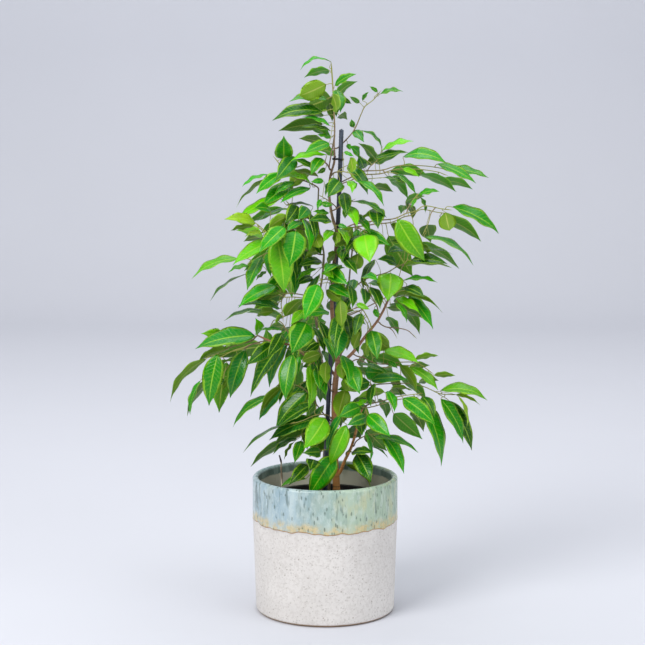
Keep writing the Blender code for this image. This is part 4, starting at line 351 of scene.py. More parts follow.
                           (10.3, 26.0, 0.5), (11.2, 25.8, 0.3), (12.3, 25.3, 0.0),
                           (13.0, 25.0, -0.2), (14.4, 24.9, -0.4)], [], [
        (13.1, 25.4, 18.4, 24.4, 1.1, "l", -0.4, 0.14), (14.8, 24.9, 17.6, 23.7, 0.4, "o", 0.4),
        (13.1, 24.4, 15.8, 19.3, 1.4, "g", -0.5), (14.0, 24.2, 16.8, 18.5, 1.4, "d", 0.7),
        (15.1, 24.7, 16.2, 21.2, 0.4, "y"), (5.2, 26.6, 9.4, 26.7, 1.2, "t", -0.5)]),
    ("right_28", "bough_right", [(3.0, 29.6, -0.35), (3.6, 29.3, 1.2), (4.4, 29.1, 1.5),
                                 (5.6, 28.5, 1.3), (7.0, 28.4, 1.0), (8.4, 28.6, 0.7),
                                 (10.4, 28.5, 0.4), (11.9, 27.5, 0.3)], [], [
        (6.7, 30.0, 10.6, 28.6, 1.3, "l", -0.6), (9.9, 28.8, 12.8, 29.4, 0.6, "o"),
        (8.3, 28.4, 10.4, 25.2, 1.0, "o", -0.3), (9.6, 28.1, 12.8, 25.5, 1.0, "l", -0.4),
        (12.3, 27.1, 14.7, 27.1, 0.6, "o"), (7.1, 28.7, 8.2, 27.9, 0.5, "g"),
        (3.8, 28.4, 7.4, 27.1, 0.5, "t", -0.8)]),
    ("centre_26", "trunk", [(1.2, 26.8, 0.0), (1.7, 28.0, -1.8), (2.4, 28.6, -2.9)], [], [
        (2.5, 28.1, 3.9, 25.0, 2.1, "g", -0.6), (2.2, 27.0, 2.9, 25.2, 1.3, "o", 0.5)]),
]

# Shoots behind, each the counterpart of one in front: (name, stem, height it leaves the stem, front
# shoot, how far back).
BACK = [
    ("back_top", "trunk", 50.2, "crown_tip", 2.6),
    ("back_right_high", "stem_right", 45.0, "right_high", 4.2),
    ("back_right_mid", "stem_right", 42.2, "right_mid", 5.0),
    ("back_right_36", "stem_right", 34.0, "right_36", 4.4),
    ("back_centre_33", "stem_right", 31.5, "centre_33", 8.5),
    ("back_left_33", "stem_left", 32.0, "centre_left_33", 9.5),
    ("back_left_43", "stem_left", 41.6, "left_43", 7.5),
    ("back_left_36", "stem_left", 34.6, "left_36", 4.2),
    ("back_left_30", "stem_left", 29.6, "left_30", 4.4),
    ("back_right_28", "stem_right", 27.6, "right_28", 4.6),
    ("back_right_24", "stem_right", 23.0, "right_24", 5.4),
    ("back_left_22", "stem_left", 21.6, "left_22", 5.6),
    ("back_centre_37", "stem_right", 36.6, "centre_37", 12.0),
    ("back_left_45", "stem_left", 43.6, "left_45", 9.0),
    ("back_centre_27", "stem_right", 26.0, "left_27", 9.0),
]
SPARSE = ("crown_tip", "right_top", "low_front", "low_right", "low_right_front", "right_bare",
          "centre_left_33", "left_51")
NODE_SPACING = 0.003
STEM_STEP = 0.014  # between the sections of a stem
SMALL_LEAF = 0.034  # a shorter leaf is drawn with one section fewer
SHORTEST_STALK = 0.0046
LONGEST_STALK = 0.037
SHARPEST_TURN = 2.5


def place(x, z, y):
    """A point of the front elevation, in centimetres, at depth y, in metres."""
    flat = Vector((x * CM, 0.0, z * CM - LOWER))
    laid = EYE + (flat - EYE) * ((y * CM - EYE.y) / -EYE.y)
    wide, tall = CROWN_SPREAD / LAID_SPREAD, CROWN_HEIGHT / LAID_HEIGHT
    return Vector((laid.x * wide, laid.y * wide, SOIL_TOP + (laid.z - LAID_SOIL) * tall))


def on_elevation(point):
    """Where a point shows on the elevation: what place() does, undone for its depth."""
    return EYE + (point - EYE) * (-EYE.y / (point.y - EYE.y))


class Path:
    """A smooth curve through points, with its length."""

    def __init__(self, points, radii=None, fine=0.0015):
        self.points, self.radii = [], []
        radii = radii or [0.0] * len(points)
        ends = [points[0] * 2 - points[1]] + list(points) + [points[-1] * 2 - points[-2]]
        for i in range(len(points) - 1):
            a, b, c, d = ends[i:i + 4]
            u, v, w = (max((q - p).length, 1e-6) ** 0.5 for p, q in ((a, b), (b, c), (c, d)))
            leave = ((b - a) / u - (c - a) / (u + v) + (c - b) / v) * v
            arrive = ((c - b) / v - (d - b) / (v + w) + (d - c) / w) * v
            steps = max(2, int((c - b).length / fine))
            for k in range(steps + (i == len(points) - 2)):
                t = k / steps
                self.points.append(b * (2 * t ** 3 - 3 * t * t + 1) + leave * (t ** 3 - 2 * t * t + t)
                                   + c * (3 * t * t - 2 * t ** 3) + arrive * (t ** 3 - t * t))
                self.radii.append(radii[i] * (1 - t) + radii[i + 1] * t)
        self.along = [0.0]
        for p, q in zip(self.points, self.points[1:]):
            self.along.append(self.along[-1] + (q - p).length)
        self.length = self.along[-1]

    def at(self, s):
        s = min(max(s, 0.0), self.length)
        i = min(max(bisect.bisect_right(self.along, s) - 1, 0), len(self.points) - 2)
        t = (s - self.along[i]) / max(self.along[i + 1] - self.along[i], 1e-9)
        return self.points[i].lerp(self.points[i + 1], t)

    def radius(self, s):
        i = min(max(bisect.bisect_right(self.along, s) - 1, 0), len(self.points) - 1)
        return self.radii[i]

    def heading(self, s):
        return (self.at(s + 0.001) - self.at(s - 0.001)).normalized()

    def nearest(self, point):
        """Length along the path at which it comes nearest to a point."""
        return min(((p - point).length, s) for p, s in zip(self.points, self.along))[1]


def stem_path(name):
    rows = STEMS[name]
    return Path([place(x, z, y) for x, z, y, r in rows], [r * CM * STEM_GROWTH for x, z, y, r in rows])


def frames(path, stations):
    """Side and up vectors at each station, carried along the path without twist."""
    out, side, last = [], None, stations[0]
    for s in stations:
        steps = max(1, int((s - last) / 0.001))
        for k in range(steps):
            ahead = path.heading(last + (s - last) * (k + 1) / steps)
            if side is None:
                side = ahead.cross(Vector((0, 0, 1)))
                if side.length < 0.2:
                    side = ahead.cross(Vector((0, 1, 0)))
            side = (side - ahead * side.dot(ahead)).normalized()
        out.append((side.copy(), ahead.cross(side)))
        last = s
    return out


def leaf_points(leaf, t, across):
    """The midrib's point at t, from base to tip, the way out to the margin and the fold's rise."""
    rise = leaf["arch"] * leaf["length"] * 4 * t * (1 - t)
    middle = leaf["base"] + leaf["axis"] * (leaf["length"] * t) + leaf["normal"] * rise
    return middle, leaf["side"] * across, leaf["normal"] * (abs(across) * leaf["fold"])


def blade_rings(leaf, spare=0.0):
    """The leaf's four-cornered sections and its tip. The first shares out the turn from its stalk."""
    half, thick = leaf["width"] / 2 + spare, BLADE_THICKNESS / 2 + spare
    ahead = ((leaf["base"] - leaf["root"]).normalized() + leaf["axis"]).normalized()
    across = (leaf["side"] - ahead * ahead.dot(leaf["side"])).normalized()
    out, rise = across * (PETIOLE_RADIUS * 1.3 + spare), ahead.cross(across) * (PETIOLE_RADIUS + spare)
    rings = [[leaf["base"] + v for v in (out, rise, -out, -rise)]]
    small = leaf["length"] < SMALL_LEAF
    for t, share in ((0.45, 0.95),) if small else ((0.36, 1.0), (0.76, 0.55)):
        middle, out, up = leaf_points(leaf, t, half * share)
        rise = leaf["normal"] * thick
        rings.append([middle + out + up, middle - rise, middle - out + up, middle + rise])
    tip = leaf["base"] + leaf["axis"] * (leaf["length"] + spare)
    return rings, tip


def tube_faces(count, sides):
    """Faces between rings of points that are numbered in order."""
    return [(k * sides + i, k * sides + (i + 1) % sides,
             (k + 1) * sides + (i + 1) % sides, (k + 1) * sides + i)
            for k in range(count - 1) for i in range(sides)]


def blade_shell(leaf, spare, bare=0.0018):
    """Points and faces of a leaf and its stalk but for a bare start, to test for room."""
    rings, tip = blade_rings(leaf, spare)
    stalk = leaf["base"] - leaf["root"]
    if bare < stalk.length:
        start = leaf["root"] + stalk.normalized() * bare
        rings = [[start + (p - leaf["base"]) for p in rings[0]]] + rings
    points = [p for ring in rings for p in ring] + [tip]
    faces = tube_faces(len(rings), 4)
    last = (len(rings) - 1) * 4
    faces += [(last + i, last + (i + 1) % 4, len(points) - 1) for i in range(4)]
    faces += [(0, 1, 2, 3)]
    # A bent quad may be split either way, so both ways are kept clear.
    halves = [corner for f in faces if len(f) == 4
              for corner in (f[:3], f[1:], (f[0], f[1], f[3]), (f[0], f[2], f[3]))]
    return points, halves + [f for f in faces if len(f) == 3]


def tube_shell(path, radius, least=0.0, step=0.006, sides=5):
    count = max(3, int((path.length - least) / step) + 1)
    stations = [least + (path.length - least) * k / (count - 1) for k in range(count)]
    points = []
    for s, (side, up) in zip(stations, frames(path, stations)):
        r = radius if radius is not None else path.radius(s)
        for i in range(sides):
            turn = 2 * math.pi * i / sides
            points.append(path.at(s) + (side * math.cos(turn) + up * math.sin(turn)) * r)
    faces = tube_faces(count, sides)
    return points, faces + [tuple(range(sides)), tuple(range((count - 1) * sides, count * sides))]


class Room:
    """What is already in place, so that new pieces grow clear of it."""

    def __init__(self):
        self.things = []

    def add(self, points, faces, owner):
        low = [min(p[k] for p in points) for k in range(3)]
        high = [max(p[k] for p in points) for k in range(3)]
        self.things.append((low, high, BVHTree.FromPolygons(points, faces), owner))

    def clear(self, points, faces, skip=()):
        low = [min(p[k] for p in points) for k in range(3)]
        high = [max(p[k] for p in points) for k in range(3)]
        tree = None
        for a, b, other, owner in self.things:
            if owner in skip or any(a[k] > high[k] or b[k] < low[k] for k in range(3)):
                continue
            tree = tree or BVHTree.FromPolygons(points, faces)
            if tree.overlap(other):
                return False
        return True


def make_leaf(row, root_point, depth, forward, chance, back):
    """A leaf from its row: where it lies in space, how it is turned and how it bends."""
    bx, bz, tx, tz, breadth, tone = row[:6]
    arch = row[7] if len(row) > 7 else chance.uniform(0.05, 0.09)
    seen = math.hypot(tx - bx, tz - bz) * CM
    length = max(seen, LEAF_LENGTH * chance.uniform(0.86, 1.06) if breadth > 0.7 else seen * 1.05)
    if breadth * CM / max(seen, 0.001) < 0.3:
        length = max(seen, min(length, seen * 1.12))
    dip = math.sqrt(max(length ** 2 - seen ** 2, 0.0)) / CM
    dip = min(dip, 2.6) * (1 if back else -1) + forward
    base = place(bx, bz, depth)
    tip = place(tx, tz, depth + dip)
    if (base - root_point).length < SHORTEST_STALK:
        away = base - root_point + (tip - base).normalized() * 0.002
        base = root_point + away.normalized() * SHORTEST_STALK
    axis = (tip - base).normalized()
    length = (tip - base).length
    width = max(breadth * CM, length * chance.uniform(0.33, 0.4))
    turn = math.acos(min(breadth * CM / width, 1.0))
    look = (base - EYE).normalized()
    facing = -(look - axis * look.dot(axis)).normalized()
    sideways = axis.cross(facing).normalized()
    choices = [facing * math.cos(turn) + sideways * math.sin(turn) * sign for sign in (1, -1)]
    normal = max(choices, key=lambda n: n.z * (-1 if tone == "o" else 1))
    if tone == "o":
        normal = -normal
    if back and tone != "o":
        normal = normal - facing * 2 * normal.dot(facing)
    normal = (normal - axis * normal.dot(axis)).normalized()
    return {"base": base, "axis": axis, "length": length, "width": width, "normal": normal,
            "side": axis.cross(normal), "arch": arch, "fold": chance.uniform(0.1, 0.22),
            "tone": tone, "root": root_point}


NUDGES = [(0, 0), (-0.4, 0), (0.4, 0), (-0.8, 0), (0.8, 0), (0, -0.8), (0, 0.8), (-1.3, 0),
          (1.3, 0), (-0.6, -0.9), (0.6, 0.9), (-1.9, 0), (1.9, 0), (-1.2, -1.4), (1.2, 1.4),
          (-2.5, 0), (2.5, 0), (-3.2, -0.8), (3.2, 0.8), (-4, 0), (4, 0)]


def free_place(used, s, least, most):
    """The place on a twig nearest to s that is far enough from the leaves already on it."""
    for k in range(60):
        for way in (1, -1):
            t = s + way * k * 0.0012
            if least <= t <= most and all(abs(t - u) >= NODE_SPACING for u in used):
                return t
    return None


def grow():
    """All twigs and leaves, each clear of the others."""
    room, stems, shoots = Room(), {}, []
    for name in STEMS:
        stems[name] = stem_path(name)
        room.add(*tube_shell(stems[name], None, step=STEM_STEP, sides=8), "stem:" + name)
    stake = Path([place(*p) for p in STAKE_PATH])
    room.add(*tube_shell(stake, STAKE_RADIUS, sides=8), "stake")
    room.add(*tube_shell(Path([place(*p) for p in DRY_PATH]), DRY_RADIUS), "dry")
    for points, faces in pot_shells():
        room.add(points, faces, "pot")
    plan = []
    for name, stem, points, sides, leaves in SHOOTS:
        more = []
        for k, row in enumerate(leaves):
            if row[4] >= 0.8 and abs(row[0]) < 8.0 and name not in SPARSE:
                # A third of these extra leaves just behind take the dark tone d, which is partly painted
                # shade among the leaves.
                chance = random.Random("%s %d" % (name, k))
                dx, dz = -0.2 * row[0] + chance.uniform(-0.4, 0.4), chance.uniform(0.8, 1.9)
                more.append((row[0] + dx, row[1] + dz, row[2] * 0.85 + dx, row[3] + dz - 0.3,
                             chance.uniform(0.8, 1.8), chance.choice("ddggto"), 1.6))
        plan.append((name, stem, points, sides, leaves + more, False))
    rows = {name: (points, sides, leaves) for name, stem, points, sides, leaves in SHOOTS}
    for name, stem, height, front, behind in BACK:
        points, sides, leaves = rows[front]
        chance = random.Random("back " + name)
        foot = min(STEMS[stem], key=lambda p: abs(p[1] - height))
        path = [(foot[0], height, foot[2])]
        for k, (x, z, y) in enumerate(points[1:]):
            share = (k + 1) / (len(points) - 1)
            path.append((x * 0.97, z - 0.4, foot[2] + behind * (0.3 + 0.7 * share)
                         + 0.5 * math.sin(3.0 * share)))
        twins = []
        for row in leaves:
            dx, dz = chance.uniform(-0.5, 0.5), chance.uniform(-1.9, -0.6)
            # Each leaf behind takes a tone one step darker (olive to dark, lime to green, yellow-green to
            # lime): painted shade inside the crown.
            tone = {"o": "d", "l": "g", "y": "l"}.get(row[5], row[5])
            twins.append((row[0] * 0.88 + dx, row[1] + dz, row[2] * 0.88 + dx, row[3] + dz + 0.2,
                          max(row[4], 0.9) * 1.05, tone))
        plan.append((name, stem, path, [], twins, True))
    for name, stem, points, sides, leaves, back in plan:
        chance = random.Random(name)
        trunk = stems[stem]
        first = place(*points[0])
        s0 = trunk.nearest(first)
        for shift in (0, 0.6, -0.6, 1.2, -1.2, 1.8, -1.8, 2.6, -2.6):
            s1 = min(max(s0 + shift * CM, 0.0), trunk.length)
            core = trunk.at(s1)
            track = [place(x, z, y + shift * 0.35 * (k > 0)) for k, (x, z, y) in enumerate(points)]
            away = (track[1] - core)
            along = trunk.heading(s1)
            if s1 > trunk.length - 0.004 and (first - trunk.points[-1]).length < 0.004:
                away = along
                core = trunk.points[-1]
                begin = core + along * GAP * 1.2
                track = [begin, begin + along * 0.003] + track[1:]
            else:
                away = (away - along * away.dot(along)).normalized()
                begin = core + away * (trunk.radius(s1) + GAP)
                track = [begin, begin + away * 0.003 + along * 0.0004] + track[1:]
            if (track[2] - track[1]).length < 0.003:
                track.pop(2)
            main = Path(track)
            if room.clear(*tube_shell(main, TWIG_RADIUS + 0.0004, 0.0012), {"stem:" + stem}) and \
                    room.clear(*tube_shell(main, TWIG_RADIUS, 0.0), {None}):
                break
        twigs = [{"path": main, "parent": None, "from": 0.0, "used": []}]
        room.add(*tube_shell(main, TWIG_RADIUS), name + ":twig")
        for row in sides:
            track = [place(*p) for p in row]
            s1 = free_place(twigs[0]["used"], main.nearest(track[0]), 0.006, main.length - 0.004)
            foot, along = main.at(s1), main.heading(s1)
            away = track[1] - foot
            if away.length > 0.008:
                lean = 0.5 if away.dot(along) > 0 else -0.5
                away = (away - along * away.dot(along)).normalized() + along * lean
                track[:1] = [foot, foot + away.normalized() * 0.004]
            side = Path([foot] + track[1:])
            room.add(*tube_shell(side, TWIG_RADIUS * 0.8, 0.002), name + ":twig")
            twigs.append({"path": side, "parent": 0, "from": s1, "used": []})
            twigs[0]["used"].append(s1)
        shoots.append({"name": name, "twigs": twigs, "leaves": [], "back": back, "rows": leaves,
                       "chance": chance})
    for shoot in shoots:
        for row in shoot["rows"]:
            forward = row[6] if len(row) > 6 else 0.0
            best = None
            flat = place(row[0], row[1], 0.0)
            for k, twig in enumerate(shoot["twigs"]):
                path = twig["path"]
                for s, p in zip(path.along[::3], path.points[::3]):
                    if s < 0.008 or (k and s < 0.006):
                        continue
                    far = (on_elevation(p) - flat).length
                    if best is None or far < best[0]:
                        best = (far, k, s, p)
            far, which, s, root = best
            twig = shoot["twigs"][which]
            s = free_place(twig["used"], s, 0.009 if which else 0.01, twig["path"].length - 0.002)
            if s is None:
                continue
            root = twig["path"].at(s)
            depth = root.y / CM + (forward if not shoot["back"] else shoot["chance"].uniform(0, 0.8))
            state = shoot["chance"].getstate()
            for size in (1.0, 0.8, 0.62):
                for shift, lean in NUDGES:
                    shoot["chance"].setstate(state)
                    if shoot["back"]:
                        shift = abs(shift) * 0.7
                    leaf = make_leaf(row[:4] + (row[4] * size,) + row[5:], root, depth + shift, lean,
                                     shoot["chance"], shoot["back"])
                    if size < 1:
                        leaf["width"] *= size
                        leaf["length"] *= 0.5 + size / 2
                    stalk = leaf["base"] - root
                    if stalk.length > LONGEST_STALK or stalk.angle(leaf["axis"]) > SHARPEST_TURN:
                        continue
                    if not room.clear(*blade_shell(leaf, 0.0005), {shoot["name"] + ":twig"}):
                        continue
                    if not room.clear(*blade_shell(leaf, 0.0007, 0.0042)):
                        continue
                    break
                else:
                    continue
                break
            else:
                continue
            leaf["twig"], leaf["s"] = which, s
            twig["used"].append(s)
            room.add(*blade_shell(leaf, 0.0), shoot["name"])
            shoot["leaves"].append(leaf)
    return stems, stake, shoots

def pot_profile():
    """The cover pot's section, as (radius, height), from the middle of its foot round to inside."""
    foot = POT_RADIUS - POT_TAPER - GLAZE_THICKNESS
    body = POT_RADIUS - GLAZE_THICKNESS
    points = [(0.0, 0.0)]
    for k in range(4):
        turn = math.pi / 2 * k / 3
        points.append((foot - FOOT_ROUND + FOOT_ROUND * math.sin(turn),
                       FOOT_ROUND - FOOT_ROUND * math.cos(turn)))
    glaze = POT_HEIGHT - GLAZE_DEPTH
    points += [(body, glaze - 0.0006), (POT_RADIUS, glaze)]
    half = POT_WALL / 2
    middle = POT_RADIUS - half
    for k in range(7):
        turn = math.pi * k / 6
        points.append((middle + half * math.cos(turn), POT_HEIGHT - half + half * math.sin(turn)))
    inner = POT_RADIUS - POT_WALL
    points += [(inner - 0.001, POT_FLOOR + 0.006), (inner - 0.005, POT_FLOOR), (0.0, POT_FLOOR)]
    return points


def nursery_profile():
    top, foot = NURSERY_RADIUS - NURSERY_LIP, NURSERY_RADIUS - NURSERY_TAPER
    lip = NURSERY_TOP - NURSERY_LIP_HEIGHT
    return [(0.0, NURSERY_BOTTOM), (foot, NURSERY_BOTTOM), (top, lip), (NURSERY_RADIUS, lip),
            (NURSERY_RADIUS, NURSERY_TOP), (top - NURSERY_WALL, NURSERY_TOP),
            (top - NURSERY_WALL, lip), (foot - NURSERY_WALL, NURSERY_BOTTOM + NURSERY_WALL),
            (0.0, NURSERY_BOTTOM + NURSERY_WALL)]


def soil_profile():
    wall = NURSERY_WALL + GAP
    top, foot = NURSERY_RADIUS - NURSERY_LIP - wall, NURSERY_RADIUS - NURSERY_TAPER - wall
    lip = NURSERY_TOP - NURSERY_LIP_HEIGHT
    low = NURSERY_BOTTOM + wall
    edge = foot + (top - foot) * min(1.0, (SOIL_TOP - low) / (lip - low))
    return [(0.0, low), (foot, low), (edge, SOIL_TOP - 0.001), (edge * 0.7, SOIL_TOP),
            (edge * 0.35, SOIL_TOP + SOIL_MOUND * 0.5), (0.0, SOIL_TOP + SOIL_MOUND * 0.5)]


def turned_faces(rows):
    """Faces between rings of point numbers. A ring on the axis repeats one number."""
    faces = []
    for a, b in zip(rows, rows[1:]):
        for i in range(len(a)):
            j = (i + 1) % len(a)
            face = tuple(dict.fromkeys((a[i], a[j], b[j], b[i])))
            if len(face) > 2:
                faces.append(face)
    return faces


def lathe(profile, count):
    """Points and faces of a closed turned solid, from a section that starts and ends on the axis."""
    points, rows = [], []
    for radius, height in profile:
        if radius < 1e-6:
            rows.append([len(points)] * count)
            points.append(Vector((0.0, 0.0, height)))
        else:
            rows.append([len(points) + i for i in range(count)])
            points += [Vector((radius * math.cos(2 * math.pi * i / count),
                               radius * math.sin(2 * math.pi * i / count), height))
                       for i in range(count)]
    return points, turned_faces(rows)


def pot_shells():
    return [lathe(pot_profile(), 40), lathe(nursery_profile(), 32), lathe(soil_profile(), 24)]


# ---------------------------------------------------------------- material helpers
def srgb(red, green, blue):
    """A colour on the 0 to 255 display scale, as the shader's linear one."""
    out = []
    for c in (red, green, blue):
        c /= 255.0
        out.append(c / 12.92 if c <= 0.04045 else ((c + 0.055) / 1.055) ** 2.4)
    return (*out, 1.0)


class Maker:
    """Short ways to build one material's nodes."""

    def __init__(self, name, roughness=0.5, gloss=0.5):
        self.material = bpy.data.materials.new(name)
        self.material.use_nodes = True
        self.nodes = self.material.node_tree.nodes
        self.links = self.material.node_tree.links
        self.shader = self.nodes["Principled BSDF"]
        self.shader.inputs["Roughness"].default_value = roughness
        self.shader.inputs["Specular IOR Level"].default_value = gloss
        self.place = self.add("ShaderNodeTexCoord").outputs["Object"]

    def add(self, kind, **settings):
        node = self.nodes.new(kind)
        for key, value in settings.items():
            setattr(node, key, value)
        return node

    def put(self, socket, value):
        if isinstance(value, bpy.types.NodeSocket):
            self.links.new(value, socket)
        else:
            socket.default_value = value

    def value(self, name):
        return self.add("ShaderNodeAttribute", attribute_name=name).outputs["Fac"]

    def colour(self, name):
        return self.add("ShaderNodeAttribute", attribute_name=name).outputs["Color"]

    def math(self, operation, a, b=0.0, c=0.0):
        node = self.add("ShaderNodeMath", operation=operation)
        for socket, v in zip(node.inputs, (a, b, c)):
            self.put(socket, v)
        return node.outputs[0]

    def step(self, value, low, high, to_low=0.0, to_high=1.0):
        node = self.add("ShaderNodeMapRange", interpolation_type="SMOOTHSTEP")
        for socket, v in zip(node.inputs, (value, low, high, to_low, to_high)):
            self.put(socket, v)
        return node.outputs[0]

    def mix(self, share, a, b):
        node = self.add("ShaderNodeMix", data_type="RGBA")
        self.put(node.inputs["Factor"], share)
        self.put(node.inputs["A"], a)
        self.put(node.inputs["B"], b)
        return node.outputs["Result"]

    def noise(self, scale, detail=3.0, rough=0.55, stretch=None, distort=0.0):
        node = self.add("ShaderNodeTexNoise")
        node.inputs["Scale"].default_value = scale
        node.inputs["Detail"].default_value = detail
        node.inputs["Roughness"].default_value = rough
        node.inputs["Distortion"].default_value = distort
        self.links.new(self.stretched(stretch), node.inputs["Vector"])
        return node.outputs["Fac"]

    def cells(self, scale, stretch=None):
        """Distance to the nearest of many scattered points."""
        node = self.add("ShaderNodeTexVoronoi")
        node.inputs["Scale"].default_value = scale
        self.links.new(self.stretched(stretch), node.inputs["Vector"])
        return node.outputs["Distance"]

    def stretched(self, stretch):
        if stretch is None:
            return self.place
        node = self.add("ShaderNodeMapping")
        node.inputs["Scale"].default_value = stretch
        self.links.new(self.place, node.inputs["Vector"])
        return node.outputs["Vector"]

    def bump(self, height, strength, distance):
        node = self.add("ShaderNodeBump")
        node.inputs["Strength"].default_value = strength
        node.inputs["Distance"].default_value = distance
        self.links.new(height, node.inputs["Height"])
        return node.outputs["Normal"]

    def finish(self, colour, roughness=None, normal=None):
        self.put(self.shader.inputs["Base Color"], colour)
        if roughness is not None:
            self.put(self.shader.inputs["Roughness"], roughness)
        if normal is not None:
            self.links.new(normal, self.shader.inputs["Normal"])
        return self.material


def leaf_material():
    """Blade of a weeping fig: glossy, with a light midrib and margin and faint side veins."""
    m = Maker("fig_leaf_blade", 0.3, 0.42)
    across, along, under = m.value("across"), m.value("along"), m.value("under")
    base = m.colour("blade_colour")
    edge = m.math("ABSOLUTE", across)
    slow = m.noise(70.0, 3.0)
    fine = m.noise(420.0, 2.0)
    # side veins run outwards and forwards, and meet a vein along the margin
    run = m.math("SUBTRACT", along, m.math("MULTIPLY", edge, 0.13))
    wave = m.math("SINE", m.math("MULTIPLY", run, 82.0))
    veins = m.step(wave, 0.55, 1.0)
    veins = m.math("MULTIPLY", veins, m.step(edge, 0.9, 0.8))
    rib = m.step(edge, 0.095, 0.03)
    rib = m.math("MULTIPLY", rib, m.step(along, 1.0, 0.8))
    rim = m.step(m.math("ADD", edge, m.math("MULTIPLY", slow, 0.6)), 1.02, 1.14)
    light = m.mix(0.72, base, srgb(184, 232, 60))
    shade = m.mix(0.5, base, srgb(4, 62, 4))
    body = m.mix(m.step(slow, 0.35, 0.75), base, m.mix(0.35, base, shade))
    body = m.mix(m.math("MULTIPLY", m.step(fine, 0.4, 0.75), 0.16), body, light)
    body = m.mix(m.math("MULTIPLY", veins, 0.16), body, light)
    body = m.mix(m.math("MULTIPLY", rim, 0.8), body, light)
    top = m.mix(m.math("MULTIPLY", rib, 0.85), body, light)
    dull = m.mix(0.42, base, srgb(116, 150, 24))
    dull = m.mix(m.math("MULTIPLY", veins, 0.2), dull, srgb(160, 178, 70))
    dull = m.mix(m.math("MULTIPLY", rib, 0.75), dull, srgb(184, 196, 92))
    colour = m.mix(under, top, dull)
    rough = m.math("ADD", m.step(slow, 0.3, 0.8, 0.2, 0.32), m.math("MULTIPLY", under, 0.2))
    relief = m.math("ADD", m.math("MULTIPLY", veins, -0.5), m.math("MULTIPLY", slow, 0.9))
    relief = m.math("SUBTRACT", relief, m.math("MULTIPLY", rib, 0.8))
    normal = m.bump(relief, 0.35, 0.0006)
    m.finish(colour, rough, normal)
    thin = m.add("ShaderNodeBsdfTranslucent")
    m.links.new(m.mix(0.5, base, srgb(126, 206, 20)), thin.inputs["Color"])
    both = m.add("ShaderNodeMixShader")
    both.inputs["Fac"].default_value = 0.2
    m.links.new(m.shader.outputs[0], both.inputs[1])
    m.links.new(thin.outputs[0], both.inputs[2])
    m.links.new(both.outputs[0], m.nodes["Material Output"].inputs["Surface"])
    return m.material


def stalk_material():
    """Twigs and leaf stalks: brown near the stem, yellow-green towards the leaves."""
    m = Maker("fig_twig", 0.5)
    age = m.value("age")
    slow = m.noise(160.0, 3.0, stretch=(1.0, 1.0, 0.5))
    green = m.mix(slow, srgb(122, 130, 48), srgb(170, 166, 78))
    brown = m.mix(slow, srgb(96, 76, 56), srgb(156, 130, 100))
    specks = m.step(m.noise(900.0, 2.0), 0.62, 0.72)
    brown = m.mix(m.math("MULTIPLY", specks, 0.5), brown, srgb(170, 152, 120))
    colour = m.mix(m.step(m.math("ADD", age, m.math("MULTIPLY", slow, 0.3)), 0.35, 0.95), green, brown)
    return m.finish(colour, m.step(age, 0.0, 1.0, 0.4, 0.7), m.bump(m.noise(700.0), 0.3, 0.0003))


def bark_material():
    """Trunk and boughs: smooth fig bark, orange-brown low down and redder at the fork."""
    m = Maker("fig_trunk_bark", 0.66)
    high = m.add("ShaderNodeSeparateXYZ")
    m.links.new(m.place, high.inputs[0])
    z = high.outputs["Z"]
    along = m.noise(90.0, 4.0, stretch=(1.0, 1.0, 0.28), distort=0.6)
    rings = m.noise(60.0, 3.0, stretch=(0.4, 0.4, 7.0))
    low = m.mix(along, srgb(186, 112, 50), srgb(240, 176, 108))
    mid = m.mix(along, srgb(128, 84, 60), srgb(192, 140, 106))
    top = m.mix(along, srgb(92, 74, 58), srgb(158, 128, 96))
    colour = m.mix(m.step(z, 0.17, 0.27), low, mid)
    colour = m.mix(m.step(z, 0.31, 0.42), colour, top)
    colour = m.mix(m.math("MULTIPLY", m.step(rings, 0.52, 0.66), 0.5), colour, srgb(84, 54, 34))
    pores = m.cells(520.0, stretch=(1.0, 1.0, 0.5))
    dots = m.step(pores, 0.26, 0.12)
    colour = m.mix(m.math("MULTIPLY", dots, 0.55), colour, srgb(206, 176, 140))
    relief = m.math("ADD", m.math("MULTIPLY", rings, 0.8), m.math("MULTIPLY", dots, 0.5))
    return m.finish(colour, m.step(along, 0.3, 0.8, 0.58, 0.75), m.bump(relief, 0.6, 0.0006))


def young_material():
    """The two slender stems: pale grey-tan bark with fine rings."""
    m = Maker("fig_stem_bark", 0.62)
    along = m.noise(110.0, 4.0, stretch=(1.0, 1.0, 0.3))
    rings = m.noise(70.0, 3.0, stretch=(0.3, 0.3, 8.0))
    colour = m.mix(along, srgb(92, 84, 66), srgb(160, 148, 118))
    colour = m.mix(m.math("MULTIPLY", m.step(rings, 0.5, 0.7), 0.45), colour, srgb(74, 60, 44))
    dots = m.step(m.cells(700.0), 0.25, 0.1)
    colour = m.mix(m.math("MULTIPLY", dots, 0.5), colour, srgb(196, 184, 150))
    return m.finish(colour, 0.64, m.bump(rings, 0.5, 0.0004))


def stake_material():
    """Plastic-coated stake: blue-black, moulded in shallow rings, a little dusty."""
    m = Maker("stake_coating", 0.36)
    dust = m.noise(130.0, 4.0, stretch=(1.0, 1.0, 0.5))
    colour = m.mix(m.step(dust, 0.45, 0.8), srgb(34, 40, 56), srgb(82, 92, 110))
    scuffs = m.step(m.noise(60.0, 5.0, stretch=(8.0, 8.0, 0.8)), 0.6, 0.7)
    colour = m.mix(m.math("MULTIPLY", scuffs, 0.4), colour, srgb(120, 126, 136))
    return m.finish(colour, m.step(dust, 0.3, 0.8, 0.3, 0.5), m.bump(dust, 0.25, 0.0003))


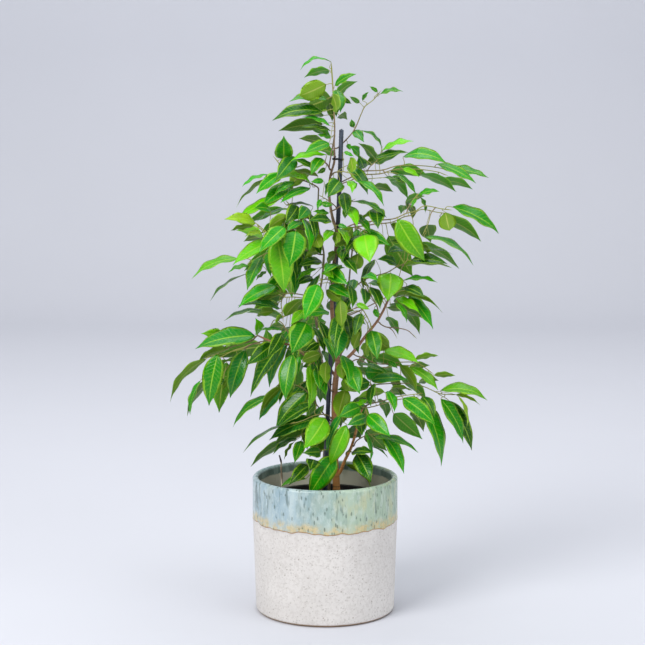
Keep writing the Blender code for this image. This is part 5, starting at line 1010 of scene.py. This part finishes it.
def black_material(name="nursery_plastic"):
    """Thin black nursery plastic, matte, with dust and soil splashes."""
    m = Maker(name, 0.45)
    dust = m.noise(55.0, 5.0)
    fine = m.noise(600.0, 2.0)
    colour = m.mix(m.step(dust, 0.45, 0.75), srgb(20, 21, 22), srgb(48, 47, 44))
    specks = m.step(m.noise(260.0, 3.0), 0.62, 0.7)
    colour = m.mix(m.math("MULTIPLY", specks, 0.6), colour, srgb(84, 70, 52))
    return m.finish(colour, m.step(dust, 0.3, 0.8, 0.34, 0.62), m.bump(fine, 0.3, 0.0003))


def dry_material():
    m = Maker("dead_twig", 0.85)
    grain = m.noise(140.0, 4.0, stretch=(2.5, 2.5, 0.35))
    colour = m.mix(m.step(grain, 0.4, 0.6), srgb(124, 108, 88), srgb(214, 204, 184))
    high = m.add("ShaderNodeSeparateXYZ")
    m.links.new(m.place, high.inputs[0])
    tip = m.step(m.math("ADD", high.outputs["Z"], m.math("MULTIPLY", grain, 0.004)), 0.170, 0.1765)
    colour = m.mix(tip, colour, srgb(46, 36, 28))
    return m.finish(colour, 0.85, m.bump(grain, 0.7, 0.0008))


def soil_material():
    """Dark peat with paler fibres and grit."""
    m = Maker("peat", 0.95)
    coarse = m.noise(120.0, 5.0)
    fine = m.noise(900.0, 4.0)
    colour = m.mix(m.step(coarse, 0.35, 0.7), srgb(30, 24, 15), srgb(72, 60, 40))
    colour = m.mix(m.step(fine, 0.5, 0.75, 0.0, 0.5), colour, srgb(104, 86, 60))
    colour = m.mix(m.value("bright"), colour, srgb(120, 100, 72))
    relief = m.math("ADD", m.math("MULTIPLY", coarse, 0.6), fine)
    return m.finish(colour, 0.95, m.bump(relief, 0.9, 0.0012))


def pot_material():
    """Glazed stoneware. 'glaze' is the height above the glaze's wavy lower edge, in centimetres."""
    m = Maker("pot_stoneware", 0.4)
    glaze = m.value("glaze")
    inside = m.value("inside")
    parts = m.add("ShaderNodeSeparateXYZ")
    m.links.new(m.place, parts.inputs[0])
    x, z = parts.outputs["X"], parts.outputs["Z"]
    # bare stoneware, off-white with grey-brown specks
    cloud = m.noise(20.0, 4.0)
    grain = m.noise(900.0, 3.0)
    bare = m.mix(m.step(cloud, 0.3, 0.7), srgb(213, 209, 205), srgb(223, 219, 215))
    mottle = m.step(m.noise(300.0, 4.0, 0.7), 0.46, 0.6)
    bare = m.mix(m.math("MULTIPLY", mottle, 0.42), bare, srgb(192, 186, 180))
    specks = m.cells(330.0)
    dots = m.step(specks, 0.34, 0.2)
    chosen = m.step(m.noise(170.0, 2.0), 0.47, 0.53)
    bare = m.mix(m.math("MULTIPLY", m.math("MULTIPLY", dots, chosen), 0.4), bare, srgb(148, 140, 132))
    rare = m.math("MULTIPLY", m.step(m.cells(120.0), 0.13, 0.07), 0.55)
    bare = m.mix(rare, bare, srgb(116, 92, 70))
    foot = m.math("ADD", z, m.math("MULTIPLY", cloud, 0.0016))
    bare = m.mix(m.step(foot, 0.0042, 0.0022), bare, srgb(140, 112, 82))
    # glaze: blue-grey to the left, greener and streaked with yellow to the right
    streak = m.noise(95.0, 5.0, stretch=(1.0, 1.0, 0.2), distort=0.5)
    broad = m.step(m.noise(34.0, 4.0, stretch=(1.0, 1.0, 0.45)), 0.38, 0.62)
    left = m.mix(broad, srgb(150, 174, 184), srgb(174, 194, 202))
    right = m.mix(broad, srgb(152, 176, 154), srgb(174, 194, 170))
    colour = m.mix(m.step(x, -0.055, 0.05), left, right)
    frost = m.step(m.noise(170.0, 4.0, 0.7, stretch=(1.0, 1.0, 0.5)), 0.47, 0.6)
    colour = m.mix(m.math("MULTIPLY", frost, 0.32), colour, srgb(208, 220, 216))
    shade = m.step(m.noise(130.0, 5.0, 0.7, stretch=(1.0, 1.0, 0.3)), 0.52, 0.64)
    colour = m.mix(m.math("MULTIPLY", shade, 0.38), colour, srgb(112, 136, 130))
    warm = m.step(m.noise(75.0, 4.0, stretch=(1.0, 1.0, 0.35)), 0.5, 0.62)
    warm = m.math("MULTIPLY", warm, m.step(x, -0.02, 0.05, 0.1, 0.5))
    colour = m.mix(warm, colour, srgb(196, 194, 148))
    drips = m.step(m.noise(150.0, 3.0, stretch=(1.0, 1.0, 0.13)), 0.575, 0.65)
    drips = m.math("MULTIPLY", drips, m.step(glaze, 1.0, 2.4))
    colour = m.mix(m.math("MULTIPLY", drips, 0.6), colour, srgb(76, 96, 90))
    near = m.step(m.math("ADD", glaze, m.math("MULTIPLY", streak, 1.4)), 2.1, 1.15)
    blotch = m.step(m.noise(110.0, 4.0), 0.4, 0.56, 0.25, 1.0)
    tan = m.math("MULTIPLY", near, blotch)
    flecks = m.step(m.noise(260.0, 4.0, 0.7), 0.48, 0.58)
    ochre = m.mix(m.math("MULTIPLY", flecks, 0.55), srgb(212, 186, 128), srgb(150, 156, 116))
    colour = m.mix(m.math("MULTIPLY", tan, 0.75), colour, ochre)
    pits = m.cells(250.0, stretch=(1.0, 1.0, 0.42))
    pit = m.math("MULTIPLY", m.step(pits, 0.3, 0.18),
                 m.step(m.noise(90.0, 2.0), 0.43, 0.52))
    colour = m.mix(m.math("MULTIPLY", pit, 0.62), colour, srgb(84, 100, 88))
    line = m.step(glaze, 0.17, 0.04)
    colour = m.mix(line, colour, srgb(168, 124, 74))
    # inside: a green-grey glaze over the upper centimetre, painted darker than the glaze outside as shade
    # inside the rim, then bare clay
    dark = m.mix(m.step(streak, 0.4, 0.6), srgb(98, 122, 114), srgb(142, 164, 158))
    wall = m.mix(cloud, srgb(206, 204, 186), srgb(230, 226, 210))
    within = m.mix(m.step(m.math("ADD", z, m.math("MULTIPLY", streak, 0.004)), 0.1455, 0.1475),
                   wall, dark)
    covered = m.step(glaze, -0.01, 0.015)
    outside = m.mix(covered, bare, colour)
    full = m.mix(inside, outside, within)
    shiny = m.step(streak, 0.4, 0.6, 0.2, 0.36)
    matte = m.step(grain, 0.3, 0.8, 0.62, 0.8)
    cover = m.math("MULTIPLY", covered, m.step(inside, 0.5, 0.9, 1.0, 0.6))
    rough = m.math("ADD", m.math("MULTIPLY", cover, shiny),
                   m.math("MULTIPLY", m.math("SUBTRACT", 1.0, cover), matte))
    relief = m.math("ADD", m.math("MULTIPLY", grain, m.step(covered, 0.0, 1.0, 0.3, 0.03)),
                    m.math("MULTIPLY", m.math("MULTIPLY", streak, covered), 1.2))
    relief = m.math("SUBTRACT", relief, m.math("MULTIPLY", m.math("MULTIPLY", pit, covered), 0.8))
    return m.finish(full, rough, m.bump(relief, 0.45, 0.0007))


# ---------------------------------------------------------------- mesh helpers
def new_piece(name, points, faces, material, values=None, colours=None, sharp=None):
    """A mesh object with its attributes."""
    mesh = bpy.data.meshes.new(name)
    mesh.from_pydata([tuple(p) for p in points], [], faces)
    mesh.validate()
    for key, data in (values or {}).items():
        layer = mesh.attributes.new(key, "FLOAT", "POINT")
        layer.data.foreach_set("value", data)
    for key, data in (colours or {}).items():
        layer = mesh.attributes.new(key, "FLOAT_COLOR", "POINT")
        layer.data.foreach_set("color", [c for row in data for c in row])
    bm = bmesh.new()
    bm.from_mesh(mesh)
    bmesh.ops.recalc_face_normals(bm, faces=bm.faces)
    bm.to_mesh(mesh)
    bm.free()
    mesh.shade_smooth()
    if sharp:
        mesh.set_sharp_from_angle(angle=math.radians(sharp))
    mesh.materials.append(material)
    piece = bpy.data.objects.new(name, mesh)
    bpy.context.collection.objects.link(piece)
    return piece


def settle(piece, node):
    """Puts a finished piece on the root body and hides the imported part that it stands for."""
    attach(piece, "root")
    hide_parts(node)


class Heap:
    """Points, faces and values gathered for one mesh."""

    def __init__(self):
        self.points, self.faces, self.values, self.colours = [], [], {}, {}

    def add(self, points, faces, **values):
        first = len(self.points)
        self.points += points
        self.faces += [tuple(first + i for i in face) for face in faces]
        for key, data in values.items():
            if not isinstance(data, list):
                data = [data] * len(points)
            store = self.colours if key.endswith("colour") else self.values
            store.setdefault(key, []).extend(data)

    def piece(self, name, material):
        return new_piece(name, self.points, self.faces, material, self.values, self.colours)


def tube(path, radius, stations, sides):
    """A round tube with domed ends. radius is a function of the length along the path."""
    points = []
    for s, (side, up) in zip(stations, frames(path, stations)):
        r, middle = radius(s), path.at(s)
        for i in range(sides):
            turn = 2 * math.pi * i / sides
            points.append(middle + (side * math.cos(turn) + up * math.sin(turn)) * r)
    faces = tube_faces(len(stations), sides)
    for end, s, way in ((0, stations[0], -1), (len(stations) - 1, stations[-1], 1)):
        tip = len(points)
        points.append(path.at(s) + path.heading(s) * way * radius(s) * 0.6)
        ring = [end * sides + i for i in range(sides)]
        faces += [(ring[i], ring[(i + 1) % sides], tip) for i in range(sides)]
    return points, faces


def spaced(start, end, step):
    """Evenly spaced lengths from start to end, about a step apart."""
    count = max(2, int((end - start) / step) + 1)
    return [start + (end - start) * k / (count - 1) for k in range(count)]


# ---------------------------------------------------------------- leaves
# Half-width of the blade along its length, as a share of its greatest: a rounded base, the widest
# part before the middle, and a long drip tip.
OUTLINE = [(0.0, 0.05), (0.03, 0.24), (0.08, 0.52), (0.16, 0.82), (0.26, 0.97), (0.36, 1.0),
           (0.48, 0.99), (0.58, 0.91), (0.68, 0.76), (0.78, 0.54), (0.86, 0.31), (0.92, 0.15),
           (0.96, 0.08), (1.0, 0.015)]
# Leaf colours by tone. The dark tone d is partly the leaf's own deeper green and partly painted shade for
# leaves that lie in shadow.
TONES = {"d": (8, 98, 6), "g": (20, 154, 4), "l": (106, 206, 4), "y": (176, 222, 30),
         "t": (20, 132, 38), "o": (108, 158, 8)}
ROWS, COLUMNS = 16, 6


def breadth(t):
    for (a, p), (b, q) in zip(OUTLINE, OUTLINE[1:]):
        if t <= b:
            k = (t - a) / (b - a)
            return p + (q - p) * k
    return OUTLINE[-1][1]


def add_blade(heap, leaf, chance):
    """A thin closed blade, folded along its midrib, with a waved margin and a drooping tip."""
    wave, phase = chance.uniform(0.6, 1.6), chance.uniform(0, 6.3)
    twist, droop = chance.uniform(-0.25, 0.25), chance.uniform(0.02, 0.07)
    bent = chance.uniform(-0.03, 0.03)
    length, half, thick = leaf["length"], leaf["width"] * 0.54, BLADE_THICKNESS * 0.28
    tone = TONES[leaf["tone"]]
    lift = chance.uniform(0.84, 1.16)
    hue = chance.uniform(-0.07, 0.07)
    shade = srgb(tone[0] * lift * (1 + hue), tone[1] * lift, tone[2] * lift * (1 - hue))
    top, low, index = [], [], {}
    points, across, along, under = [], [], [], []

    def at(t, u, side):
        lean = twist * (t - 0.3)
        side_way = leaf["side"] * math.cos(lean) + leaf["normal"] * math.sin(lean)
        normal = leaf["normal"] * math.cos(lean) - leaf["side"] * math.sin(lean)
        rise = leaf["arch"] * length * 4 * t * (1 - t) - droop * length * max(0.0, t - 0.6) ** 2 * 4
        middle = leaf["base"] + leaf["axis"] * (length * t) + leaf["normal"] * rise
        middle = middle + leaf["side"] * (bent * length * math.sin(math.pi * t))
        reach = u * half * breadth(t)
        cup = abs(reach) * leaf["fold"] * (1.15 - 0.35 * abs(u))
        ripple = (math.sin(t * 15.0 + phase + (1.3 if u > 0 else 0.0)) * 0.0007 * wave
                  * abs(u) ** 2 * min(1.0, t * 4) * min(1.0, (1 - t) * 4))
        groove = -0.0004 * math.exp(-(u * 6) ** 2) * (1 - t)
        return (middle + side_way * reach + normal * (cup + ripple + groove + side * thick
                                                      * (1 - abs(u)) ** 0.5 * min(1.0, (1 - t) * 8)))

    for side in (1, -1):
        for i in range(ROWS + 1):
            t = i / ROWS
            t = t * 0.9 + 0.1 * t * t
            for j in range(COLUMNS + 1):
                u = j / COLUMNS * 2 - 1
                rim = j in (0, COLUMNS) or i in (0, ROWS)
                if side < 0 and rim:
                    index[(side, i, j)] = index[(1, i, j)]
                    continue
                index[(side, i, j)] = len(points)
                points.append(at(t, u, side))
                across.append(u)
                along.append(t)
                under.append(0.0 if side > 0 else 1.0)
    faces = []
    for side in (1, -1):
        for i in range(ROWS):
            for j in range(COLUMNS):
                face = [index[(side, i, j)], index[(side, i, j + 1)], index[(side, i + 1, j + 1)],
                        index[(side, i + 1, j)]]
                faces.append(tuple(face if side > 0 else face[::-1]))
    if leaf["normal"].dot(leaf["axis"].cross(leaf["side"])) > 0:
        faces = [face[::-1] for face in faces]
    heap.add(points, faces, across=across, along=along, under=under, blade_colour=shade)


def add_stalk(heap, leaf, shoot):
    """The leaf's stalk, from inside its twig to inside the blade's base."""
    twig = shoot["twigs"][leaf["twig"]]["path"]
    root, base = leaf["root"], leaf["base"]
    ahead = twig.heading(leaf["s"])
    away = base - root
    out = (away - ahead * away.dot(ahead)).normalized()
    knee = root + (out + ahead * 0.3) * min(0.003, away.length * 0.35)
    end = base + leaf["axis"] * 0.0012
    path = Path([root, knee, base - (away.normalized() + leaf["axis"]) * 0.0008, end], fine=0.001)
    stations = spaced(0.0, path.length, max(0.0016, path.length / 10))
    size = PETIOLE_RADIUS * (0.62 + 0.2 * (leaf["length"] > 0.04))
    points, faces = tube(path, lambda s: size * (1.25 - 0.4 * min(1.0, s / 0.004)), stations, 6)
    heap.add(points, faces, age=0.12)


def add_shoot_twigs(heap, shoot):
    """The shoot's twigs, swollen a little at each leaf, with a bud at each tip."""
    for k, twig in enumerate(shoot["twigs"]):
        path = twig["path"]
        size = TWIG_RADIUS * (0.58 if k else 0.74)
        knots = twig["used"]

        def radius(s):
            swell = sum(math.exp(-((s - u) / 0.0011) ** 2) for u in knots)
            return size * (1.0 - 0.42 * s / path.length) * (1.0 + 0.22 * min(swell, 1.0))

        stations = spaced(0.0, path.length, 0.0013)
        points, faces = tube(path, radius, stations, 8)
        bare = not shoot["leaves"]
        age = [0.9 if bare else max(0.2, 0.95 - 0.8 * s / path.length) * (0.8 if k else 1.0)
               for s in stations for i in range(8)] + [0.9, 0.3]
        heap.add(points, faces, age=age)
        tip = path.at(path.length)
        ahead = path.heading(path.length)
        bud = Path([tip - ahead * 0.001, tip + ahead * 0.0045], fine=0.001)
        points, faces = tube(bud, lambda s: max(0.00015, size * 0.75 * (1 - (s / 0.0056) ** 1.4)),
                             spaced(0.0, bud.length, 0.0011), 6)
        heap.add(points, faces, age=0.05)


# ---------------------------------------------------------------- stems
def stem_piece(name, paths, material):
    """Stems with slight rings where leaves once were, each from its path and a number of its own."""
    heap = Heap()
    for path, grain in paths:
        wobble = random.Random(name + str(grain))
        shift = wobble.uniform(0, 50)

        def radius(s):
            r = path.radius(s)
            ring = math.exp(-(((s + shift * 0.001) % 0.021 - 0.0105) / 0.0012) ** 2)
            return r * (1 + 0.05 * noise.noise(Vector((s * 60, shift, 0))) + 0.07 * ring)

        points, faces = tube(path, radius, spaced(0.0, path.length, 0.0014), 18)
        moved = []
        for p in points:
            n = noise.noise(Vector((p.x * 260, p.y * 260, p.z * 60 + shift)))
            m = noise.noise(Vector((p.x * 90, p.y * 90, p.z * 22 + shift)))
            moved.append(p + Vector((n, m, 0)) * 0.00012)
        heap.add(moved, faces, age=1.0)
    return heap.piece(name, material)


# ---------------------------------------------------------------- pots and soil
GLAZE_LEVEL = 0.1052  # mean height of the glaze's edge
GLAZE_WAVES = [(-0.0008, 1, 0.0), (0.0006, 2, 0.8), (0.0006, 7, 2.1), (0.0006, 13, 0.4),
               (0.0005, 23, 1.3), (0.0003, 41, 0.0)]  # size, waves in a round and start
POT_SIDES, NURSERY_SIDES = 220, 144
SOIL_RINGS, SOIL_SIDES = 34, 110
SOIL_SKIN = 0.012  # depth of the visible soil
CRUMBS, FIBRES = 1500, 90


def glaze_edge(turn):
    """Height of the glaze's lower edge round the pot; a turn of 0 is +X."""
    return GLAZE_LEVEL + sum(size * math.sin(waves * turn + start) for size, waves, start in GLAZE_WAVES)


def cover_pot_piece(material):
    """Turned pot: the glaze stands a little proud and ends in a soft rolled edge."""
    heap = Heap()
    inner = POT_RADIUS - POT_WALL
    half = POT_WALL / 2
    foot = POT_RADIUS - POT_TAPER - GLAZE_THICKNESS
    rows = [(0.0, 0.0, 0), (foot - FOOT_ROUND - 0.010, 0.0, 0)]
    for k in range(9):
        turn = math.pi / 2 * k / 8
        rows.append((foot - FOOT_ROUND + FOOT_ROUND * math.sin(turn),
                     FOOT_ROUND - FOOT_ROUND * math.cos(turn), 0))
    rows += [("wall", k / 26, 0) for k in range(1, 27)]
    rows += [("glaze", k / 16, 0) for k in range(1, 17)]
    for k in range(1, 17):
        turn = math.pi * k / 16
        middle = POT_RADIUS - half
        rows.append((middle + half * math.cos(turn), POT_HEIGHT - half + half * math.sin(turn),
                     max(0.0, (k - 9) / 7)))
    for k in range(1, 25):
        z = POT_HEIGHT - half + (POT_FLOOR + 0.006 - POT_HEIGHT + half) * k / 24
        rows.append((inner - 0.001 * k / 24, z, 1.0))
    rows += [(inner - 0.0022, POT_FLOOR + 0.002, 1.0), (inner - 0.005, POT_FLOOR, 1.0), (0.0, POT_FLOOR, 1.0)]
    points, glaze, inside, grid = [], [], [], []
    top = POT_HEIGHT - half
    for first, second, within in rows:
        line = []
        flat = isinstance(first, float) and first < 1e-6
        for i in range(1 if flat else POT_SIDES):
            turn = 2 * math.pi * i / POT_SIDES
            edge = glaze_edge(turn)
            if first == "wall":
                z = FOOT_ROUND + (edge - FOOT_ROUND) * second
                r = foot + (POT_RADIUS - GLAZE_THICKNESS - foot) * second
            elif first == "glaze":
                z = edge + (top - edge) * second ** 1.5
                roll = min(1.0, (z - edge) / 0.0011)
                thick = GLAZE_THICKNESS * (math.sqrt(max(0.0, 1 - (1 - roll) ** 2)))
                bead = 0.00022 * math.exp(-((z - edge - 0.001) / 0.0009) ** 2)
                r = POT_RADIUS - GLAZE_THICKNESS + thick + bead
            else:
                z, r = second, first
            if r > 0.02 and z > 0.006:
                soft = noise.noise(Vector((math.cos(turn) * 2.2, math.sin(turn) * 2.2, z * 26)))
                r += 0.00016 * soft
            line.append(len(points))
            points.append(Vector((r * math.cos(turn), r * math.sin(turn), z)))
            glaze.append((z - edge) * 100)
            inside.append(within)
        grid.append(line * POT_SIDES if flat else line)
    heap.add(points, turned_faces(grid), glaze=glaze, inside=inside)
    return heap.piece("cover_pot_glazed", material)


def growing_pot_piece(material):
    """Thin nursery pot with a rolled lip."""
    lip = NURSERY_TOP - NURSERY_LIP_HEIGHT
    top, foot = NURSERY_RADIUS - NURSERY_LIP, NURSERY_RADIUS - NURSERY_TAPER
    rows = [(0.0, NURSERY_BOTTOM), (foot - 0.002, NURSERY_BOTTOM), (foot, NURSERY_BOTTOM + 0.0015)]
    rows += [(foot + (top - foot) * k / 8, NURSERY_BOTTOM + 0.0015
              + (lip - NURSERY_BOTTOM - 0.0015) * k / 8) for k in range(1, 9)]
    rows += [(top + 0.001, lip + 0.0001), (NURSERY_RADIUS - 0.0006, lip + 0.0002),
             (NURSERY_RADIUS, lip + 0.0009), (NURSERY_RADIUS, NURSERY_TOP - 0.0011)]
    for k in range(6):
        turn = math.pi / 2 * k / 5
        rows.append((NURSERY_RADIUS - 0.001 + 0.001 * math.cos(turn),
                     NURSERY_TOP - 0.001 + 0.001 * math.sin(turn)))
    inner = top - NURSERY_WALL
    rows += [(inner + 0.0008, NURSERY_TOP), (inner, NURSERY_TOP - 0.0009), (inner, lip - 0.001),
             (foot - NURSERY_WALL, NURSERY_BOTTOM + NURSERY_WALL), (0.0, NURSERY_BOTTOM + NURSERY_WALL)]
    points, faces = lathe(rows, NURSERY_SIDES)
    return new_piece("growing_pot_moulded", points, faces, material, sharp=35)


def soil_piece(material):
    """Loose peat: an uneven surface with crumbs and short fibres lying on it."""
    heap, chance = Heap(), random.Random("soil")
    wall = NURSERY_WALL + GAP
    edge = NURSERY_RADIUS - NURSERY_LIP - wall - 0.0006
    points, grid = [], []

    def level(x, y):
        r = math.hypot(x, y) / edge
        n = noise.noise(Vector((x * 120, y * 120, 0.3))) * 0.0011
        m = noise.noise(Vector((x * 40, y * 40, 7.1))) * 0.0014
        f = noise.noise(Vector((x * 420, y * 420, 2.7))) * 0.0005
        mound = SOIL_MOUND * 0.5 * max(0.0, 1 - r * r)
        return SOIL_TOP + mound + n + m + f - 0.0008

    points.append(Vector((0.0, 0.0, level(0, 0))))
    grid.append([0] * SOIL_SIDES)
    for k in range(1, SOIL_RINGS + 1):
        line = []
        for i in range(SOIL_SIDES):
            turn = 2 * math.pi * i / SOIL_SIDES
            r = edge * k / SOIL_RINGS
            x, y = r * math.cos(turn), r * math.sin(turn)
            line.append(len(points))
            points.append(Vector((x, y, level(x, y))))
        grid.append(line)
    low = SOIL_TOP - SOIL_SKIN
    line = []
    for i in range(SOIL_SIDES):
        turn = 2 * math.pi * i / SOIL_SIDES
        line.append(len(points))
        points.append(Vector((edge * 0.97 * math.cos(turn), edge * 0.97 * math.sin(turn), low)))
    grid.append(line)
    points.append(Vector((0.0, 0.0, low)))
    grid.append([len(points) - 1] * SOIL_SIDES)
    heap.add(points, turned_faces(grid), bright=0.0)
    cube = [Vector(c) for c in ((1, 0, 0), (-1, 0, 0), (0, 1, 0), (0, -1, 0), (0, 0, 1), (0, 0, -1))]
    skin = [(0, 2, 4), (2, 1, 4), (1, 3, 4), (3, 0, 4), (2, 0, 5), (1, 2, 5), (3, 1, 5), (0, 3, 5)]
    for k in range(CRUMBS):
        r = edge * 0.985 * math.sqrt(chance.random())
        turn = chance.uniform(0, 2 * math.pi)
        x, y = r * math.cos(turn), r * math.sin(turn)
        big = chance.random() ** 3 * 0.0016 + 0.0005
        shape = [Vector((c.x * chance.uniform(0.6, 1.5), c.y * chance.uniform(0.6, 1.5),
                         c.z * chance.uniform(0.5, 1.0))) * big for c in cube]
        roll = chance.uniform(0, 6.3)
        spot = Vector((x, y, level(x, y) + big * 0.25))
        points = [spot + Vector((p.x * math.cos(roll) - p.y * math.sin(roll),
                                 p.x * math.sin(roll) + p.y * math.cos(roll), p.z)) for p in shape]
        heap.add(points, skin, bright=chance.random() ** 4)
    for k in range(FIBRES):
        r = edge * 0.93 * math.sqrt(chance.random())
        turn = chance.uniform(0, 2 * math.pi)
        x, y = r * math.cos(turn), r * math.sin(turn)
        way, long = chance.uniform(0, 6.3), chance.uniform(0.003, 0.009)
        line = []
        for n in range(4):
            u = x + math.cos(way + n * 0.2) * long * n / 3
            v = y + math.sin(way + n * 0.2) * long * n / 3
            if math.hypot(u, v) > edge:
                break
            line.append(Vector((u, v, level(u, v) + 0.0006)))
        if len(line) == 4:
            path = Path(line, fine=0.001)
            size = chance.uniform(0.0002, 0.0005)
            points, faces = tube(path, lambda s: size, spaced(0.0, path.length, 0.0012), 5)
            heap.add(points, faces, bright=chance.uniform(0.3, 1.0))
    return heap.piece("soil_surface", material)


def tie_piece(material, stake, trunk):
    """A soft wire tie, twice round the stake and the leading stem, with both ends led out to one side."""
    height = place(1.4, TIE_LEVEL, 0.0).z
    a = min(stake.points, key=lambda p: abs(p.z - height))
    b = min((p for p in trunk.points if p.z > height - 0.02), key=lambda p: abs(p.z - height))
    ra, rb = STAKE_RADIUS, trunk.radius(trunk.nearest(b))
    line = Vector((b.x - a.x, b.y - a.y, 0.0))
    apart, ahead = line.length, line.normalized()
    square = Vector((-ahead.y, ahead.x, 0.0))
    lead = math.acos(max(-1.0, min(1.0, (ra - rb) / apart)))
    room = TIE_RADIUS + GAP
    track = []
    for lap in range(2):
        for centre, radius, first, last in ((a, ra, lead, 2 * math.pi - lead), (b, rb, -lead, lead)):
            for k in range(9):
                turn = first + (last - first) * k / 8
                out = ahead * math.cos(turn) + square * math.sin(turn)
                climb = (lap + (k / 16 if centre is a else 0.5 + k / 16)) * TIE_RADIUS * 1.9
                track.append(Vector((centre.x, centre.y, height + climb - TIE_RADIUS * 1.9))
                             + out * (radius + room))
    start, end = track[0], track[-1]
    path = Path([start + square * 0.004 + Vector((0, 0, -0.002))] + track
                + [end + square * 0.004 + Vector((0, 0, 0.002))], fine=0.0006)
    points, faces = tube(path, lambda s: TIE_RADIUS, spaced(0.0, path.length, 0.0005), 8)
    return new_piece("stake_tie_wire", points, faces, material)


# ---------------------------------------------------------------- build
stems, stake, shoots = grow()
leaf_paint, stalk_paint = leaf_material(), stalk_material()
for shoot in shoots:
    blades, stalks = Heap(), Heap()
    chance = random.Random("blade " + shoot["name"])
    add_shoot_twigs(stalks, shoot)
    for leaf in shoot["leaves"]:
        add_blade(blades, leaf, chance)
        add_stalk(stalks, leaf, shoot)
    node = "shoot_" + shoot["name"]
    settle(stalks.piece("twigs_" + shoot["name"], stalk_paint), node)
    if blades.points:
        settle(blades.piece("leaves_" + shoot["name"], leaf_paint), node)

bark, young = bark_material(), young_material()
settle(stem_piece("trunk_bark", [(stems[n], n) for n in ("trunk", "bough_right", "bough_left",
                                                         "bough_low")], bark), "trunk")
settle(stem_piece("stem_left_bark", [(stems["stem_left"], 1)], young), "stem_left")
settle(stem_piece("stem_right_bark", [(stems["stem_right"], 2)], young), "stem_right")

points, faces = tube(stake, lambda s: STAKE_RADIUS * (1 + 0.035 * math.sin(s * 1900)),
                     spaced(0.0, stake.length, 0.0008), 20)
settle(new_piece("stake_coated", points, faces, stake_material()), "stake")
settle(tie_piece(black_material("tie_plastic"), stake, stems["trunk"]), "stake_tie")

dry = Path([place(*p) for p in DRY_PATH], fine=0.0008)
points, faces = tube(dry, lambda s: DRY_RADIUS * (0.8 - 0.25 * s / dry.length
                                                  + 0.08 * math.sin(s * 700)),
                     spaced(0.0, dry.length, 0.0009), 12)
settle(new_piece("dry_twig_bark", points, faces, dry_material()), "dry_twig")

settle(cover_pot_piece(pot_material()), "cover_pot")
settle(growing_pot_piece(black_material()), "growing_pot")
settle(soil_piece(soil_material()), "soil")


# ---------------------------------------------------------------- stage, light and camera
# Name, place, point aimed at, width, height, power and tint of each lamp.
LAMPS = [
    ("key", (-1.5, -1.7, 1.9), (0, 0, 0.32), 1.3, 1.3, 60.0, (1.0, 0.99, 0.97)),
    ("fill", (1.9, -1.3, 1.1), (0, 0, 0.3), 1.8, 1.8, 20.0, (0.97, 0.99, 1.0)),
    ("overhead", (0.1, 0.3, 2.5), (0, 0.2, 0), 2.4, 2.0, 26.0, (1.0, 1.0, 1.0)),
    ("wall_wash", (0, 1.2, 3.1), (0, 3.4, 0.7), 5.0, 0.8, 42.0, (1.0, 1.0, 1.0)),
]
ROOM_TINT, ROOM_LIGHT = (0.86, 0.88, 0.92, 1.0), 0.44
LENS_MM, SENSOR_MM = 88.7, 36.0
CAMERA_PLACE, CAMERA_TILT = (-0.003, -1.774, 0.547), 83.0  # metres; degrees up from looking down


def backdrop():
    """A pale floor that curves up into a plain wall."""
    reach, bend_from, bend, height = 9.0, 2.6, 0.8, 6.0
    profile = [(-reach, 0.0), (bend_from, 0.0)]
    for k in range(1, 13):
        turn = math.pi / 2 * k / 12
        profile.append((bend_from + bend * math.sin(turn), bend - bend * math.cos(turn)))
    profile.append((bend_from + bend, height))
    points = [Vector((x, y, z)) for y, z in profile for x in (-reach, reach)]
    faces = [(2 * k, 2 * k + 1, 2 * k + 3, 2 * k + 2) for k in range(len(profile) - 1)]
    m = Maker("backdrop_paper", 0.9)
    m.finish(m.mix(m.noise(3.0), srgb(204, 206, 214), srgb(207, 209, 217)))
    mesh = bpy.data.meshes.new("backdrop")
    mesh.from_pydata([tuple(p) for p in points], [], faces)
    mesh.shade_smooth()
    mesh.materials.append(m.material)
    wall = bpy.data.objects.new("backdrop", mesh)
    bpy.context.collection.objects.link(wall)


def lamp(name, spot, aim, width, height, power, tint):
    light = bpy.data.lights.new(name, "AREA")
    light.shape = "RECTANGLE"
    light.size, light.size_y = width, height
    light.energy = power
    light.color = tint
    item = bpy.data.objects.new(name, light)
    bpy.context.collection.objects.link(item)
    item.location = spot
    item.rotation_euler = (Vector(aim) - Vector(spot)).to_track_quat("-Z", "Y").to_euler()


backdrop()
for row in LAMPS:
    lamp(*row)
world = bpy.data.worlds.new("room")
bpy.context.scene.world = world
world.use_nodes = True
world.node_tree.nodes["Background"].inputs["Color"].default_value = ROOM_TINT
world.node_tree.nodes["Background"].inputs["Strength"].default_value = ROOM_LIGHT
bpy.context.scene.view_settings.view_transform = "Standard"

eye = bpy.data.cameras.new("camera")
eye.sensor_width = SENSOR_MM
eye.lens = LENS_MM
camera = bpy.data.objects.new("camera", eye)
bpy.context.collection.objects.link(camera)
camera.location = CAMERA_PLACE
camera.rotation_euler = (math.radians(CAMERA_TILT), 0.0, 0.0)
bpy.context.scene.camera = camera
